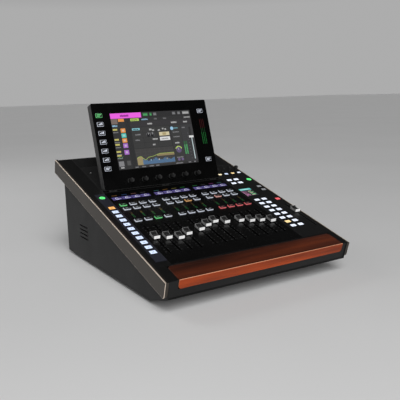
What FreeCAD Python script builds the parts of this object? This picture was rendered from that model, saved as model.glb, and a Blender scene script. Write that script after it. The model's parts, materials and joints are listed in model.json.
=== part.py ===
# Compact digital mixing console: sloping control surface with motor faders, a tilting touch
# screen that folds into a pocket behind the faders, and a wooden armrest along the front.
# World frame: +X to the operator's right, +Y to the rear, +Z up, origin on the table under the
# middle of the console. The sloping top has its own frame: X as above, V up the slope, N out of
# it. The touch screen has one too: X as above, W up the glass, M out of it.
import FreeCAD, Part
import os
import Sketcher

doc = FreeCAD.newDocument("mixing_console")
Vector = FreeCAD.Vector

# ---------------------------------------------------------------- driving dimensions (mm, deg)
sizes = {
    # control surface and its place in the world
    "panel_tilt": 16.5, "panel_y": -3.535, "panel_z": 149.5, "panel_thickness": 2,
    "half_width": 225, "trim_thickness": 7, "trim_depth": 35, "trim_front": -299,
    "trim_rear": 296, "trim_corner": 7, "side_thickness": 2,
    "cheek_edge": -184, "section_edge": 137, "deck_front": -246, "deck_rear": 76.5,
    "section_rear": 156, "pocket_rear": 292, "pocket_depth": 25.4, "sheet": 1.6,
    "drain_x": -145, "drain_v": 253, "drain_radius": 3,
    # chassis
    "foot_height": 8, "foot_radius": 9, "foot_x": 185, "foot_front": -190, "foot_rear": 215,
    "base_front": -213, "base_rear": 240, "rear_top": 191.5, "rear_thickness": 2.5,
    "rear_split": 101.5, "socket_play": 0.4, "service_edge": -120, "service_seam": 0.3,
    "flange_width": 12,
    "fold_depth": 1.68, "fold_run": 0.48,
    "vent_width": 50, "vent_height": 3, "vent_pitch": 9.4, "vent_y": 123, "vent_z": 60.8,
    # front lip and armrest
    "lip_depth": 36, "lip_front": 1, "lip_wall": 4.7, "rest_left": -197, "rest_right": 205,
    "rest_seat": 18.5,
    "rest_fit": 0.3, "rest_proud": 0.8, "rest_front": 0.3, "rest_corner": 8, "rest_foot": 6,
    "rest_edge": 0.9,
    # channels
    "channel_first": -166.83, "channel_pitch": 23.82, "bank_pitch": 106.72,
    "key_gap": 0.35, "key_rise": 2.5, "flush_rise": 1.2, "key_drop": 4,
    "channel_key_width": 15.4, "channel_key_length": 10.4,
    "select_row": 8.1, "solo_row": -11.7, "mute_row": -68.1,
    "meter_v": -39, "meter_width": 8, "meter_length": 34,
    "strip_display_first": -131.1, "strip_display_v": 42, "strip_display_width": 95,
    "strip_display_length": 16, "window_rise": 0.2, "window_drop": 4,
    # faders
    "slot_width": 3.2, "slot_length": 114, "slot_v": -153, "fader_low": -203, "fader_high": -103,
    "cap_width": 14, "cap_length": 20, "cap_height": 7, "cap_gap": 1.5, "cap_dip": 3,
    "cap_hollow": 18.2, "lever_width": 1.2, "lever_length": 8, "lever_drop": 11,
    "track_width": 12, "track_length": 138, "track_top": 3, "track_depth": 12, "track_floor": 2,
    "track_end": 4,
    "motor_radius": 6.5, "motor_length": 21, "motor_v": -95, "motor_aside": 1, "main_fader_x": 208.6,
    # left column
    "strip_x": -197.05, "strip_v": -79.5, "strip_width": 23.5, "strip_length": 303,
    "strip_rise": 0.8, "column_x": -198, "column_last": -197.8, "column_pitch": 19.63,
    "column_key_width": 15, "column_key_length": 12.5,
    "round_v": 52.2, "round_radius": 7,
    # right section
    "layer_x": 152.8, "layer_v": -195.4, "layer_pitch_x": 21, "layer_pitch_v": 19.46,
    "layer_key_width": 14.7, "layer_key_length": 10.5,
    "quad_x": 153.5, "quad_v": 41.6, "quad_pitch_x": 20.8, "quad_pitch_v": 20.3,
    "knob_row_x": 149.5, "knob_row_pitch": 20.1, "knob_key_v": 100, "knob_key_width": 10.6,
    "knob_key_length": 8.4, "knob_v": 116, "knob_radius": 5.8, "knob_height": 12,
    "knob_shaft": 3, "knob_gap": 1,
    "monitor_x": 208.6, "monitor_v": -11.5, "monitor_pitch": 19.5, "monitor_key_width": 13,
    "monitor_key_length": 9.5, "talk_v": -68.7, "talk_key_length": 10.5,
    "main_display_x": 160.3, "main_display_v": -14, "main_display_width": 37.4,
    "main_display_length": 47,
    # touch screen: its lower front edge, in panel coordinates, is the origin of its frame
    "screen_lean": 56.8, "screen_edge_v": 80.35, "screen_edge_n": 3, "screen_x": -23.05,
    "screen_width": 312.7, "screen_height": 206, "screen_depth": 20, "glass_thickness": 1.6,
    "screen_wall": 2.2, "screen_corner": 4, "glass_margin": 0.6,
    "picture_x": -27.2, "picture_w": 112.6, "display_width": 229, "display_height": 149,
    "display_depth": 5.4,
    "encoder_first": -114, "encoder_pitch": 36.5, "encoder_w": 17, "encoder_radius": 6.5,
    "encoder_height": 14,
    "side_key_left": -163, "side_key_right": 112, "side_key_w": 50.3, "side_key_pitch": 21.07,
    "side_key_span": 126.4, "side_key_width": 16, "side_key_length": 10.2, "side_key_rise": 1.4,
    # screen hinge: axis below and behind the lower front edge of the glass
    "hinge_w": -3, "hinge_m": -3, "hinge_radius": 2.6, "hinge_pin": 1.2, "hinge_running": 0.05,
    "hinge_first": -160, "hinge_pitch": 137, "knuckle_width": 6, "knuckle_gap": 0.3,
    # rear connectors
    "socket_first": -118, "socket_pitch": 28, "input_z": 115, "input_row_pitch": 35,
    "output_first": -6, "output_z": 80, "flange_x": 26, "flange_z": 31, "flange_y": 2,
    "barrel_radius": 11.8, "barrel_depth": 23, "cup_radius": 9.6, "cup_depth": 14,
    "contact_radius": 1.2, "contact_length": 9, "contact_offset": 4.5, "face_recess": 1,
    "network_first": -68, "network_pitch": 28, "network_width": 16, "network_height": 14,
    "network_depth": 16, "network_wall": 1.5,
    "mains_x": -172, "mains_z": 50, "mains_width": 24.5, "mains_height": 16.5,
    "mains_depth": 15, "mains_wall": 1.8, "mains_ear": 50, "blade_width": 2, "blade_height": 5,
    "blade_length": 9, "blade_spread": 7, "outer_blade_z": -1.5, "middle_blade_z": 2,
    "rocker_z": 92, "rocker_width": 19, "rocker_height": 12, "rocker_back": 231,
    "rocker_front": 242.5, "rocker_dish": 1.5, "rocker_gap_x": 1, "rocker_gap_z": 1.8,
    "screw_x": 209, "screw_first": 25, "screw_span": 150, "screw_radius": 1.5,
    "screw_head": 2.8, "screw_head_rise": 1.6, "screw_length": 8,
    # inside
    "board_left": -125, "board_right": 200, "board_front": -120, "board_rear": 200,
    "board_z": 40, "board_post": 4, "board_inset": 12, "chip_size": 32, "chip_height": 10,
    "chip_pitch": 70, "supply_x": -170, "supply_y": 138, "supply_width": 66,
    "supply_length": 150, "supply_height": 44,
}

# where each fader was left standing, up the slope; the main fader comes last
fader_rests = {"1": -144, "2": -152, "3": -160, "4": -150, "5": -142, "6": -130, "7": -121,
               "8": -131, "9": -135, "10": -143, "11": -148, "12": -157, "main": -134}
for name, rest in fader_rests.items():
    if not sizes["fader_low"] <= rest <= sizes["fader_high"]:
        raise ValueError("fader %s stands outside its travel" % name)
    sizes["fader_rest_" + name] = rest

sheet = doc.addObject("Spreadsheet::Sheet", "dims")
for row, (name, size) in enumerate(sizes.items(), start=1):
    sheet.set("A%d" % row, name)
    sheet.set("B%d" % row, str(size))
    sheet.setAlias("B%d" % row, name)
doc.recompute()

parts = []


# ---------------------------------------------------------------- drawing helpers
def origin_feature(body, role):
    return [item for item in body.Origin.OriginFeatures if item.Role == role][0]


def new_body(label):
    body = doc.addObject("PartDesign::Body", label)
    body.Label = label
    parts.append(body)
    return body


def sketch_on(body, plane, name, x="0", y="0", level="0"):
    sketch = body.newObject("Sketcher::SketchObject", name)
    sketch.AttachmentSupport = [(origin_feature(body, plane), "")]
    sketch.MapMode = "FlatFace"
    for direction, place in (("x", x), ("y", y), ("z", level)):
        sketch.setExpression("AttachmentOffset.Base." + direction, place)
    return sketch


def bound_distance(sketch, kind, ends, text):
    number = sketch.addConstraint(Sketcher.Constraint(kind, *ends, 1.0))
    sketch.setExpression("Constraints[%d]" % number, text)


def rectangle(body, plane, name, width, height, x="0", y="0", level="0"):
    """A rectangle centred on x, y of the plane."""
    sketch = sketch_on(body, plane, name, x, y, level)
    corners = [(-1, -1), (1, -1), (1, 1), (-1, 1)]
    for start, end in zip(corners, corners[1:] + corners[:1]):
        sketch.addGeometry(Part.LineSegment(Vector(*start, 0), Vector(*end, 0)), False)
    for side in range(4):
        sketch.addConstraint(Sketcher.Constraint("Coincident", side, 2, (side + 1) % 4, 1))
        sketch.addConstraint(Sketcher.Constraint(("Horizontal", "Vertical")[side % 2], side))
    sketch.addConstraint(Sketcher.Constraint("Symmetric", 0, 1, 1, 2, -1, 1))
    bound_distance(sketch, "DistanceX", (0, 1, 0, 2), width)
    bound_distance(sketch, "DistanceY", (1, 1, 1, 2), height)
    return sketch


def disc(body, plane, name, radius, x="0", y="0", level="0"):
    sketch = sketch_on(body, plane, name, x, y, level)
    sketch.addGeometry(Part.Circle(Vector(0, 0, 0), Vector(0, 0, 1), 1), False)
    sketch.addConstraint(Sketcher.Constraint("Coincident", 0, 3, -1, 1))
    number = sketch.addConstraint(Sketcher.Constraint("Radius", 0, 1.0))
    sketch.setExpression("Constraints[%d]" % number, radius)
    return sketch


def outline(body, plane, name, corners, level="0"):
    """A closed polygon; each corner is a pair of expressions."""
    sketch = sketch_on(body, plane, name, level=level)
    count = len(corners)
    for corner in range(count):
        start = Vector(10 * corner, 10 * corner ** 2, 0)
        end = Vector(10 * ((corner + 1) % count), 10 * ((corner + 1) % count) ** 2, 0)
        sketch.addGeometry(Part.LineSegment(start, end), False)
    for corner in range(count):
        sketch.addConstraint(Sketcher.Constraint("Coincident", corner, 2, (corner + 1) % count, 1))
    for corner, (across, up) in enumerate(corners):
        bound_distance(sketch, "DistanceX", (-1, 1, corner, 1), across)
        bound_distance(sketch, "DistanceY", (-1, 1, corner, 1), up)
    return sketch


def extrude(body, kind, sketch, length, backwards=False):
    feature = body.newObject("PartDesign::" + kind, sketch.Name + "_" + kind.lower())
    feature.Profile = sketch
    feature.Reversed = backwards
    feature.setExpression("Length", length)
    return feature


def pad(body, sketch, length, backwards=False):
    return extrude(body, "Pad", sketch, length, backwards)


def pocket(body, sketch, length, backwards=False):
    return extrude(body, "Pocket", sketch, length, backwards)


def repeat(body, feature, steps):
    """Repeat a pad or pocket along one or two of the body's axes: (axis, pitch, count)."""
    doc.recompute()
    pattern = body.newObject("PartDesign::LinearPattern", feature.Name + "_row")
    pattern.Originals = [feature]
    for suffix, (axis, pitch, count) in zip(("", "2"), steps):
        setattr(pattern, "Direction" + suffix, (origin_feature(body, axis), [""]))
        setattr(pattern, "Mode" + suffix, "Extent")
        pattern.setExpression("Length" + suffix, "(%s) * %d" % (pitch, count - 1))
        setattr(pattern, "Occurrences" + suffix, count)
    body.Tip = pattern
    return pattern


def round_edges(body, feature, radius, wanted):
    """Fillet the straight edges whose two end points both pass the test."""
    doc.recompute()
    names = []
    for number, edge in enumerate(feature.Shape.Edges, start=1):
        if len(edge.Vertexes) == 2 and wanted(edge.Vertexes[0].Point, edge.Vertexes[1].Point):
            names.append("Edge%d" % number)
    fillet = body.newObject("PartDesign::Fillet", feature.Name + "_round")
    fillet.Base = (feature, names)
    fillet.setExpression("Radius", radius)
    return fillet


def along(axis):
    """Test for round_edges: an edge that runs along one axis."""
    def test(first, second):
        return abs((second - first).normalize()[axis]) > 0.999
    return test


def panel_point(v, n):
    """World Y and Z, as expressions, of a point given in panel coordinates."""
    y = "dims.panel_y + (%s) * cos(dims.panel_tilt) - (%s) * sin(dims.panel_tilt)" % (v, n)
    z = "dims.panel_z + (%s) * sin(dims.panel_tilt) + (%s) * cos(dims.panel_tilt)" % (v, n)
    return y, z


def stand(body, angle, x, y, z):
    body.Placement = FreeCAD.Placement(Vector(), FreeCAD.Rotation(Vector(1, 0, 0), 10))
    body.setExpression("Placement.Rotation.Angle", "(%s) * 1 deg" % angle)
    for direction, place in (("x", x), ("y", y), ("z", z)):
        body.setExpression("Placement.Base." + direction, place)


def lay_on_panel(body, x="0", v="0", n="0"):
    y, z = panel_point(v, n)
    stand(body, "dims.panel_tilt", x, y, z)


def lay_on_screen(body, x="0", w="0"):
    v = "dims.screen_edge_v + (%s) * cos(dims.screen_lean)" % w
    n = "dims.screen_edge_n + (%s) * sin(dims.screen_lean)" % w
    y, z = panel_point(v, n)
    stand(body, "dims.panel_tilt + dims.screen_lean", x, y, z)


# ---------------------------------------------------------------- fields of keys and windows
channel_steps = [("X_Axis", "dims.channel_pitch", 4), ("X_Axis", "dims.bank_pitch", 3)]
fields = {
    "select": ("dims.channel_first", "dims.select_row", "dims.channel_key_width",
               "dims.channel_key_length", channel_steps),
    "solo": ("dims.channel_first", "dims.solo_row", "dims.channel_key_width",
             "dims.channel_key_length", channel_steps),
    "mute": ("dims.channel_first", "dims.mute_row", "dims.channel_key_width",
             "dims.channel_key_length", channel_steps),
    "column": ("dims.column_x", "dims.column_last", "dims.column_key_width",
               "dims.column_key_length", [("Y_Axis", "dims.column_pitch", 11)]),
    "layer": ("dims.layer_x", "dims.layer_v", "dims.layer_key_width", "dims.layer_key_length",
              [("X_Axis", "dims.layer_pitch_x", 2), ("Y_Axis", "dims.layer_pitch_v", 8)]),
    "quad": ("dims.quad_x", "dims.quad_v", "dims.layer_key_width", "dims.layer_key_length",
             [("X_Axis", "dims.quad_pitch_x", 2), ("Y_Axis", "dims.quad_pitch_v", 2)]),
    "knob_row": ("dims.knob_row_x", "dims.knob_key_v", "dims.knob_key_width",
                 "dims.knob_key_length", [("X_Axis", "dims.knob_row_pitch", 4)]),
    "monitor": ("dims.monitor_x", "dims.monitor_v", "dims.monitor_key_width",
                "dims.monitor_key_length", [("Y_Axis", "dims.monitor_pitch", 2)]),
    "talk": ("dims.monitor_x", "dims.talk_v", "dims.monitor_key_width",
             "dims.talk_key_length", []),
    "side_left": ("dims.side_key_left", "dims.side_key_w", "dims.side_key_width",
                  "dims.side_key_length", [("Y_Axis", "dims.side_key_pitch", 7)]),
    "side_right": ("dims.side_key_right", "dims.side_key_w", "dims.side_key_width",
                   "dims.side_key_length", [("Y_Axis", "dims.side_key_span", 2)]),
    "slot": ("dims.channel_first", "dims.slot_v", "dims.slot_width", "dims.slot_length",
             channel_steps),
    "main_slot": ("dims.main_fader_x", "dims.slot_v", "dims.slot_width", "dims.slot_length", []),
    "meter": ("dims.channel_first", "dims.meter_v", "dims.meter_width", "dims.meter_length",
              channel_steps),
    "strip_display": ("dims.strip_display_first", "dims.strip_display_v",
                      "dims.strip_display_width", "dims.strip_display_length",
                      [("X_Axis", "dims.bank_pitch", 3)]),
    "main_display": ("dims.main_display_x", "dims.main_display_v", "dims.main_display_width",
                     "dims.main_display_length", []),
}


def raise_field(body, name, low, high):
    """Blocks at every place of a field, from level low to level high."""
    x, y, width, length, steps = fields[name]
    block = pad(body, rectangle(body, "XY_Plane", name, width, length, x, y, low),
                "(%s) - (%s)" % (high, low))
    if steps:
        repeat(body, block, steps)


def cut_field(body, name, top, depth, gap="dims.key_gap"):
    """Openings at every place of a field, wider than the field's blocks by the gap."""
    x, y, width, length, steps = fields[name]
    doc.recompute()
    cut = pocket(body, rectangle(body, "XY_Plane", name, "%s + 2 * %s" % (width, gap),
                                 "%s + 2 * %s" % (length, gap), x, y, top), depth)
    if steps:
        repeat(body, cut, steps)


def cut_discs(body, name, radius, x, y, top, depth, steps=()):
    doc.recompute()
    cut = pocket(body, disc(body, "XY_Plane", name, radius, x, y, top), depth)
    if steps:
        repeat(body, cut, steps)


# ---------------------------------------------------------------- chassis and covers
def chassis():
    """Folded steel tray: base, front slope, two sides and the rear flanges."""
    body = new_body("chassis")
    inner = "dims.half_width - dims.trim_thickness"
    lip_y, lip_z = panel_point("dims.trim_front", "-dims.lip_depth")
    base = outline(body, "YZ_Plane", "base", [
        ("dims.base_front", "dims.foot_height"),
        ("dims.base_rear - dims.rear_thickness", "dims.foot_height"),
        ("dims.base_rear - dims.rear_thickness", "dims.foot_height + dims.sheet"),
        ("dims.base_front + dims.fold_run", "dims.foot_height + dims.sheet"),
        (lip_y, lip_z), (lip_y, lip_z + " - dims.fold_depth")], "-(%s)" % inner)
    pad(body, base, "2 * (%s)" % inner)
    side_corners = [
        ("dims.base_front", "dims.foot_height"), ("dims.base_rear", "dims.foot_height"),
        ("dims.base_rear", "dims.rear_top"),
        panel_point("dims.pocket_rear", "-dims.pocket_depth - dims.sheet"),
        panel_point("dims.pocket_rear", "0"), panel_point("dims.trim_front", "0"),
        (lip_y, lip_z + " - dims.fold_depth")]
    for name, start in (("left", "-(%s)" % inner), ("right", "%s - dims.side_thickness" % inner)):
        side = outline(body, "YZ_Plane", name + "_side", side_corners, start)
        pad(body, side, "dims.side_thickness")
    height = "dims.rear_top - dims.foot_height"
    for name, sign in (("left", "-1"), ("right", "1")):
        x = "%s * (%s - dims.side_thickness - dims.flange_width / 2)" % (sign, inner)
        flange = rectangle(body, "XZ_Plane", name + "_flange", "dims.flange_width", height, x,
                           "dims.foot_height + (%s) / 2" % height,
                           "dims.rear_thickness - dims.base_rear")
        pad(body, flange, "dims.sheet")
    for name, sign in (("left", "-1"), ("right", "1")):
        doc.recompute()
        hole = disc(body, "XZ_Plane", name + "_screw_hole", "dims.screw_radius",
                    sign + " * dims.screw_x", "dims.screw_first", "-dims.base_rear")
        cut = pocket(body, hole, "3 * dims.sheet", backwards=True)
        repeat(body, cut, [("Z_Axis", "dims.screw_span / 3", 4)])
    doc.recompute()
    vent = rectangle(body, "YZ_Plane", "vent", "dims.vent_width", "dims.vent_height",
                     "dims.vent_y", "dims.vent_z", "-dims.half_width")
    cut = pocket(body, vent, "dims.trim_thickness + 2 * dims.side_thickness", backwards=True)
    repeat(body, cut, [("Z_Axis", "dims.vent_pitch", 4)])


def side_trims():
    """Aluminium trims along both sides of the sloping top."""
    body = new_body("side_trims")
    for name, start in (("left", "-dims.half_width"),
                        ("right", "dims.half_width - dims.trim_thickness")):
        profile = outline(body, "YZ_Plane", name, [
            ("dims.trim_front", "-dims.trim_depth"), ("dims.trim_rear", "-dims.trim_depth"),
            ("dims.trim_rear", "0"), ("dims.trim_front", "0")], start)
        strips = pad(body, profile, "dims.trim_thickness")
    front = sizes["trim_front"] + 1

    def front_corner(first, second):
        return along(0)(first, second) and first.y < front and first.z < -1
    round_edges(body, strips, "dims.trim_corner", front_corner)
    lay_on_panel(body)


def flat_panel(label, left, right, front, rear, top="0", thickness="dims.panel_thickness"):
    body = new_body(label)
    plate = rectangle(body, "XY_Plane", "plate", "(%s) - (%s)" % (right, left),
                      "(%s) - (%s)" % (rear, front), "((%s) + (%s)) / 2" % (left, right),
                      "((%s) + (%s)) / 2" % (front, rear), "(%s) - (%s)" % (top, thickness))
    pad(body, plate, thickness)
    lay_on_panel(body)
    return body


def covers():
    """The flat pieces of the sloping top, with the openings for what comes through them."""
    inner = "(dims.half_width - dims.trim_thickness - dims.side_thickness)"
    through = "dims.panel_thickness"
    cheek = flat_panel("left_cheek", "-" + inner, "dims.cheek_edge", "dims.deck_front",
                       "dims.pocket_rear")
    strip = flat_panel("button_strip", "dims.strip_x - dims.strip_width / 2",
                       "dims.strip_x + dims.strip_width / 2",
                       "dims.strip_v - dims.strip_length / 2",
                       "dims.strip_v + dims.strip_length / 2", "dims.strip_rise",
                       "dims.strip_rise")
    for plate in (cheek, strip):
        cut_field(plate, "column", "dims.strip_rise", "dims.strip_rise + " + through)
        cut_discs(plate, "round", "dims.round_radius + dims.key_gap", "dims.column_x",
                  "dims.round_v", "dims.strip_rise", "dims.strip_rise + " + through)
    deck = flat_panel("channel_panel", "dims.cheek_edge", "dims.section_edge", "dims.deck_front",
                      "dims.deck_rear")
    for name in ("select", "solo", "mute", "slot", "meter", "strip_display"):
        cut_field(deck, name, "0", through, "0" if name == "slot" else "dims.key_gap")
    section = flat_panel("master_panel", "dims.section_edge", inner, "dims.deck_front",
                         "dims.section_rear")
    for name in ("layer", "quad", "knob_row", "monitor", "talk", "main_slot", "main_display"):
        cut_field(section, name, "0", through, "0" if name == "main_slot" else "dims.key_gap")
    cut_discs(section, "round", "dims.round_radius + dims.key_gap", "dims.monitor_x",
              "dims.round_v", "0", through)
    cut_discs(section, "knob_shaft", "dims.knob_shaft + dims.key_gap", "dims.knob_row_x",
              "dims.knob_v", "0", through, [("X_Axis", "dims.knob_row_pitch", 4)])


def screen_pocket():
    """L-shaped pressed tray behind the faders, which the screen folds down into."""
    body = new_body("screen_pocket")
    right = "(dims.half_width - dims.trim_thickness - dims.side_thickness)"

    def corners(wall):
        return [("dims.cheek_edge + " + wall, "dims.deck_rear + " + wall),
                ("dims.section_edge - " + wall, "dims.deck_rear + " + wall),
                ("dims.section_edge - " + wall, "dims.section_rear + " + wall),
                (right + " - " + wall, "dims.section_rear + " + wall),
                (right + " - " + wall, "dims.pocket_rear - " + wall),
                ("dims.cheek_edge + " + wall, "dims.pocket_rear - " + wall)]
    outside = outline(body, "XY_Plane", "outside", corners("0"),
                      "-dims.pocket_depth - dims.sheet")
    pad(body, outside, "dims.pocket_depth + dims.sheet")
    doc.recompute()
    pocket(body, outline(body, "XY_Plane", "inside", corners("dims.sheet")), "dims.pocket_depth")
    cut_discs(body, "drain", "dims.drain_radius", "dims.drain_x", "dims.drain_v",
              "-dims.pocket_depth", "dims.sheet")
    lay_on_panel(body)


def front_lip():
    """Moulded nose of the console, with the seat of the armrest cut out of it."""
    body = new_body("front_lip")
    width = "2 * (dims.half_width - dims.trim_thickness - dims.side_thickness)"
    block = rectangle(body, "XY_Plane", "block", width,
                      "dims.deck_front - dims.trim_front - dims.lip_front", "0",
                      "(dims.deck_front + dims.trim_front + dims.lip_front) / 2",
                      "-dims.lip_depth")
    pad(body, block, "dims.lip_depth")
    doc.recompute()
    seat = rectangle(body, "XY_Plane", "seat", "dims.rest_right - dims.rest_left",
                     "dims.deck_front - dims.trim_front",
                     "(dims.rest_right + dims.rest_left) / 2",
                     "(dims.deck_front + dims.trim_front) / 2 - dims.lip_wall")
    pocket(body, seat, "dims.rest_seat")
    lay_on_panel(body)


def armrest():
    """Wooden armrest standing a little proud of its seat: rounded behind and below."""
    body = new_body("armrest")
    front = "(dims.trim_front + dims.rest_front)"
    rear = "(dims.deck_front - dims.lip_wall - dims.rest_fit)"
    middle = (sizes["trim_front"] + sizes["deck_front"]) / 2
    block = rectangle(body, "XY_Plane", "block",
                      "dims.rest_right - dims.rest_left - 2 * dims.rest_fit",
                      "%s - %s" % (rear, front), "(dims.rest_right + dims.rest_left) / 2",
                      "(%s + %s) / 2" % (rear, front), "-dims.rest_seat")
    board = pad(body, block, "dims.rest_seat + dims.rest_proud")
    top = sizes["rest_proud"] - 0.01

    def behind(first, second):
        return first.y > middle and second.y > middle and abs(first.z - second.z) > 1

    def beneath(first, second):
        return max(first.z, second.z) < top and abs(first.y - second.y) > 1

    def upper(first, second):
        return first.z > top and second.z > top
    board = round_edges(body, board, "dims.rest_corner", behind)
    board = round_edges(body, board, "dims.rest_foot", beneath)
    round_edges(body, board, "dims.rest_edge", upper)
    lay_on_panel(body)


def feet():
    body = new_body("feet")
    foot = pad(body, disc(body, "XY_Plane", "foot", "dims.foot_radius", "-dims.foot_x",
                          "dims.foot_front"), "dims.foot_height")
    repeat(body, foot, [("X_Axis", "2 * dims.foot_x", 2),
                        ("Y_Axis", "dims.foot_rear - dims.foot_front", 2)])


# ---------------------------------------------------------------- controls on the slope
def key_group(label, names, rise="dims.key_rise"):
    body = new_body(label)
    for name in names:
        raise_field(body, name, "-dims.key_drop", rise)
    lay_on_panel(body)


def round_keys():
    body = new_body("round_keys")
    for name, x in (("left", "dims.column_x"), ("right", "dims.monitor_x")):
        cap = disc(body, "XY_Plane", name, "dims.round_radius", x, "dims.round_v",
                   "-dims.key_drop")
        pad(body, cap, "dims.key_drop + dims.flush_rise")
    lay_on_panel(body)


def panel_windows():
    """Smoked windows of the channel displays, the small main display and the level meters."""
    body = new_body("panel_windows")
    for name in ("strip_display", "main_display", "meter"):
        raise_field(body, name, "-dims.window_drop", "dims.window_rise")
    lay_on_panel(body)


def fader_cap(name, x):
    """Saddle-topped cap with the blade that reaches down into its track."""
    body = new_body("fader_cap_" + name)
    block = rectangle(body, "XY_Plane", "block", "dims.cap_width", "dims.cap_length",
                      level="dims.cap_gap")
    solid = pad(body, block, "dims.cap_height")
    round_edges(body, solid, "dims.lever_width", along(2))
    doc.recompute()
    top = "dims.cap_gap + dims.cap_height + dims.cap_hollow - dims.cap_dip"
    saddle = disc(body, "YZ_Plane", "saddle", "dims.cap_hollow", "0", top,
                  "-dims.cap_width")
    pocket(body, saddle, "2 * dims.cap_width", backwards=True)
    lever = rectangle(body, "XY_Plane", "lever", "dims.lever_width", "dims.lever_length",
                      level="-dims.lever_drop")
    pad(body, lever, "dims.lever_drop + dims.cap_gap")
    lay_on_panel(body, x, "dims.fader_rest_" + name)


def all_fader_caps():
    for number in range(12):
        bank, place = divmod(number, 4)
        x = "dims.channel_first + %d * dims.bank_pitch + %d * dims.channel_pitch" % (bank, place)
        fader_cap(str(number + 1), x)
    fader_cap("main", "dims.main_fader_x")


def fader_tracks():
    """Steel channels under the panel in which the fader blades run."""
    body = new_body("fader_tracks")
    low = "-dims.track_top - dims.track_depth"
    for name, x, steps in (("channel", "dims.channel_first", channel_steps),
                           ("main", "dims.main_fader_x", [])):
        block = pad(body, rectangle(body, "XY_Plane", name + "_track", "dims.track_width",
                                    "dims.track_length", x, "dims.slot_v", low),
                    "dims.track_depth")
        if steps:
            repeat(body, block, steps)
    for name, x, steps in (("channel", "dims.channel_first", channel_steps),
                           ("main", "dims.main_fader_x", [])):
        doc.recompute()
        groove = pocket(body, rectangle(body, "XY_Plane", name + "_groove", "dims.slot_width",
                                        "dims.track_length - 2 * dims.track_end", x, "dims.slot_v",
                                        "-dims.track_top"), "dims.track_depth - dims.track_floor")
        if steps:
            repeat(body, groove, steps)
    lay_on_panel(body)


def fader_motors():
    body = new_body("fader_motors")
    low = "-dims.track_top - dims.track_depth - dims.motor_length"
    for name, x, steps in (("channel", "dims.channel_first", channel_steps),
                           ("main", "dims.main_fader_x - dims.motor_aside", [])):
        motor = pad(body, disc(body, "XY_Plane", name + "_motor", "dims.motor_radius", x,
                               "dims.motor_v", low), "dims.motor_length")
        if steps:
            repeat(body, motor, steps)
    lay_on_panel(body)


def knob(label, radius, height):
    """Turned knob with its shaft; the frame it stands in is set by the caller."""
    body = new_body(label)
    grip = pad(body, disc(body, "XY_Plane", "grip", radius, level="dims.knob_gap"), height)
    doc.recompute()
    names = []
    low = grip.Shape.BoundBox.ZMax - sizes["knob_gap"]
    for number, edge in enumerate(grip.Shape.Edges, start=1):
        if all(vertex.Z > low for vertex in edge.Vertexes):
            names.append("Edge%d" % number)
    rim = body.newObject("PartDesign::Chamfer", "rim")
    rim.Base = (grip, [name for name in names if grip.Shape.getElement(name).Closed])
    rim.setExpression("Size", "dims.knob_gap / 2")
    pad(body, disc(body, "XY_Plane", "shaft", "dims.knob_shaft", level="-dims.key_drop"),
        "dims.key_drop + dims.knob_gap")
    return body


# ---------------------------------------------------------------- touch screen
def screen_housing():
    """Shallow shell behind the glass, open to the front."""
    body = new_body("screen_housing")
    block = rectangle(body, "XY_Plane", "block", "dims.screen_width", "dims.screen_height",
                      "dims.screen_x", "dims.screen_height / 2", "-dims.screen_depth")
    shell = pad(body, block, "dims.screen_depth - dims.glass_thickness")
    round_edges(body, shell, "dims.screen_corner", along(2))
    doc.recompute()
    hollow = rectangle(body, "XY_Plane", "hollow", "dims.screen_width - 2 * dims.screen_wall",
                       "dims.screen_height - 2 * dims.screen_wall", "dims.screen_x",
                       "dims.screen_height / 2", "-dims.glass_thickness")
    pocket(body, hollow, "dims.screen_depth - dims.glass_thickness - dims.screen_wall")
    lay_on_screen(body)


def screen_glass():
    body = new_body("screen_glass")
    plate = rectangle(body, "XY_Plane", "plate", "dims.screen_width - 2 * dims.glass_margin",
                      "dims.screen_height - 2 * dims.glass_margin", "dims.screen_x",
                      "dims.screen_height / 2", "-dims.glass_thickness")
    sheet_glass = pad(body, plate, "dims.glass_thickness")
    round_edges(body, sheet_glass, "dims.screen_corner - dims.glass_margin", along(2))
    for name in ("side_left", "side_right"):
        cut_field(body, name, "0", "dims.glass_thickness")
    cut_discs(body, "encoder_shaft", "dims.knob_shaft + dims.key_gap", "dims.encoder_first",
              "dims.encoder_w", "0", "dims.glass_thickness",
              [("X_Axis", "dims.encoder_pitch", 6)])
    lay_on_screen(body)


def display_module():
    body = new_body("display_module")
    block = rectangle(body, "XY_Plane", "block", "dims.display_width", "dims.display_height",
                      "dims.picture_x", "dims.picture_w",
                      "-dims.glass_thickness - dims.display_depth")
    pad(body, block, "dims.display_depth")
    lay_on_screen(body)


def screen_keys():
    body = new_body("screen_keys")
    for name in ("side_left", "side_right"):
        raise_field(body, name, "-dims.key_drop", "dims.side_key_rise")
    lay_on_screen(body)


def hinge_arms():
    """Three pairs of arms under the screen, each pair joined by its hinge pin."""
    body = new_body("hinge_arms")
    near = "dims.hinge_first - 1.5 * dims.knuckle_width - dims.knuckle_gap"
    far = "dims.hinge_first + 0.5 * dims.knuckle_width + dims.knuckle_gap"
    steps = [("X_Axis", "dims.hinge_pitch", 3)]
    for name, start in (("near", near), ("far", far)):
        arm = rectangle(body, "YZ_Plane", name + "_arm", "-dims.hinge_w",
                        "2 * dims.hinge_radius", "dims.hinge_w / 2", "dims.hinge_m", start)
        repeat(body, pad(body, arm, "dims.knuckle_width"), steps)
        eye = disc(body, "YZ_Plane", name + "_eye", "dims.hinge_radius", "dims.hinge_w",
                   "dims.hinge_m", start)
        repeat(body, pad(body, eye, "dims.knuckle_width"), steps)
    pin = disc(body, "YZ_Plane", "pin", "dims.hinge_pin", "dims.hinge_w", "dims.hinge_m", near)
    repeat(body, pad(body, pin, "3 * dims.knuckle_width + 2 * dims.knuckle_gap"), steps)
    lay_on_screen(body)


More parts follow.
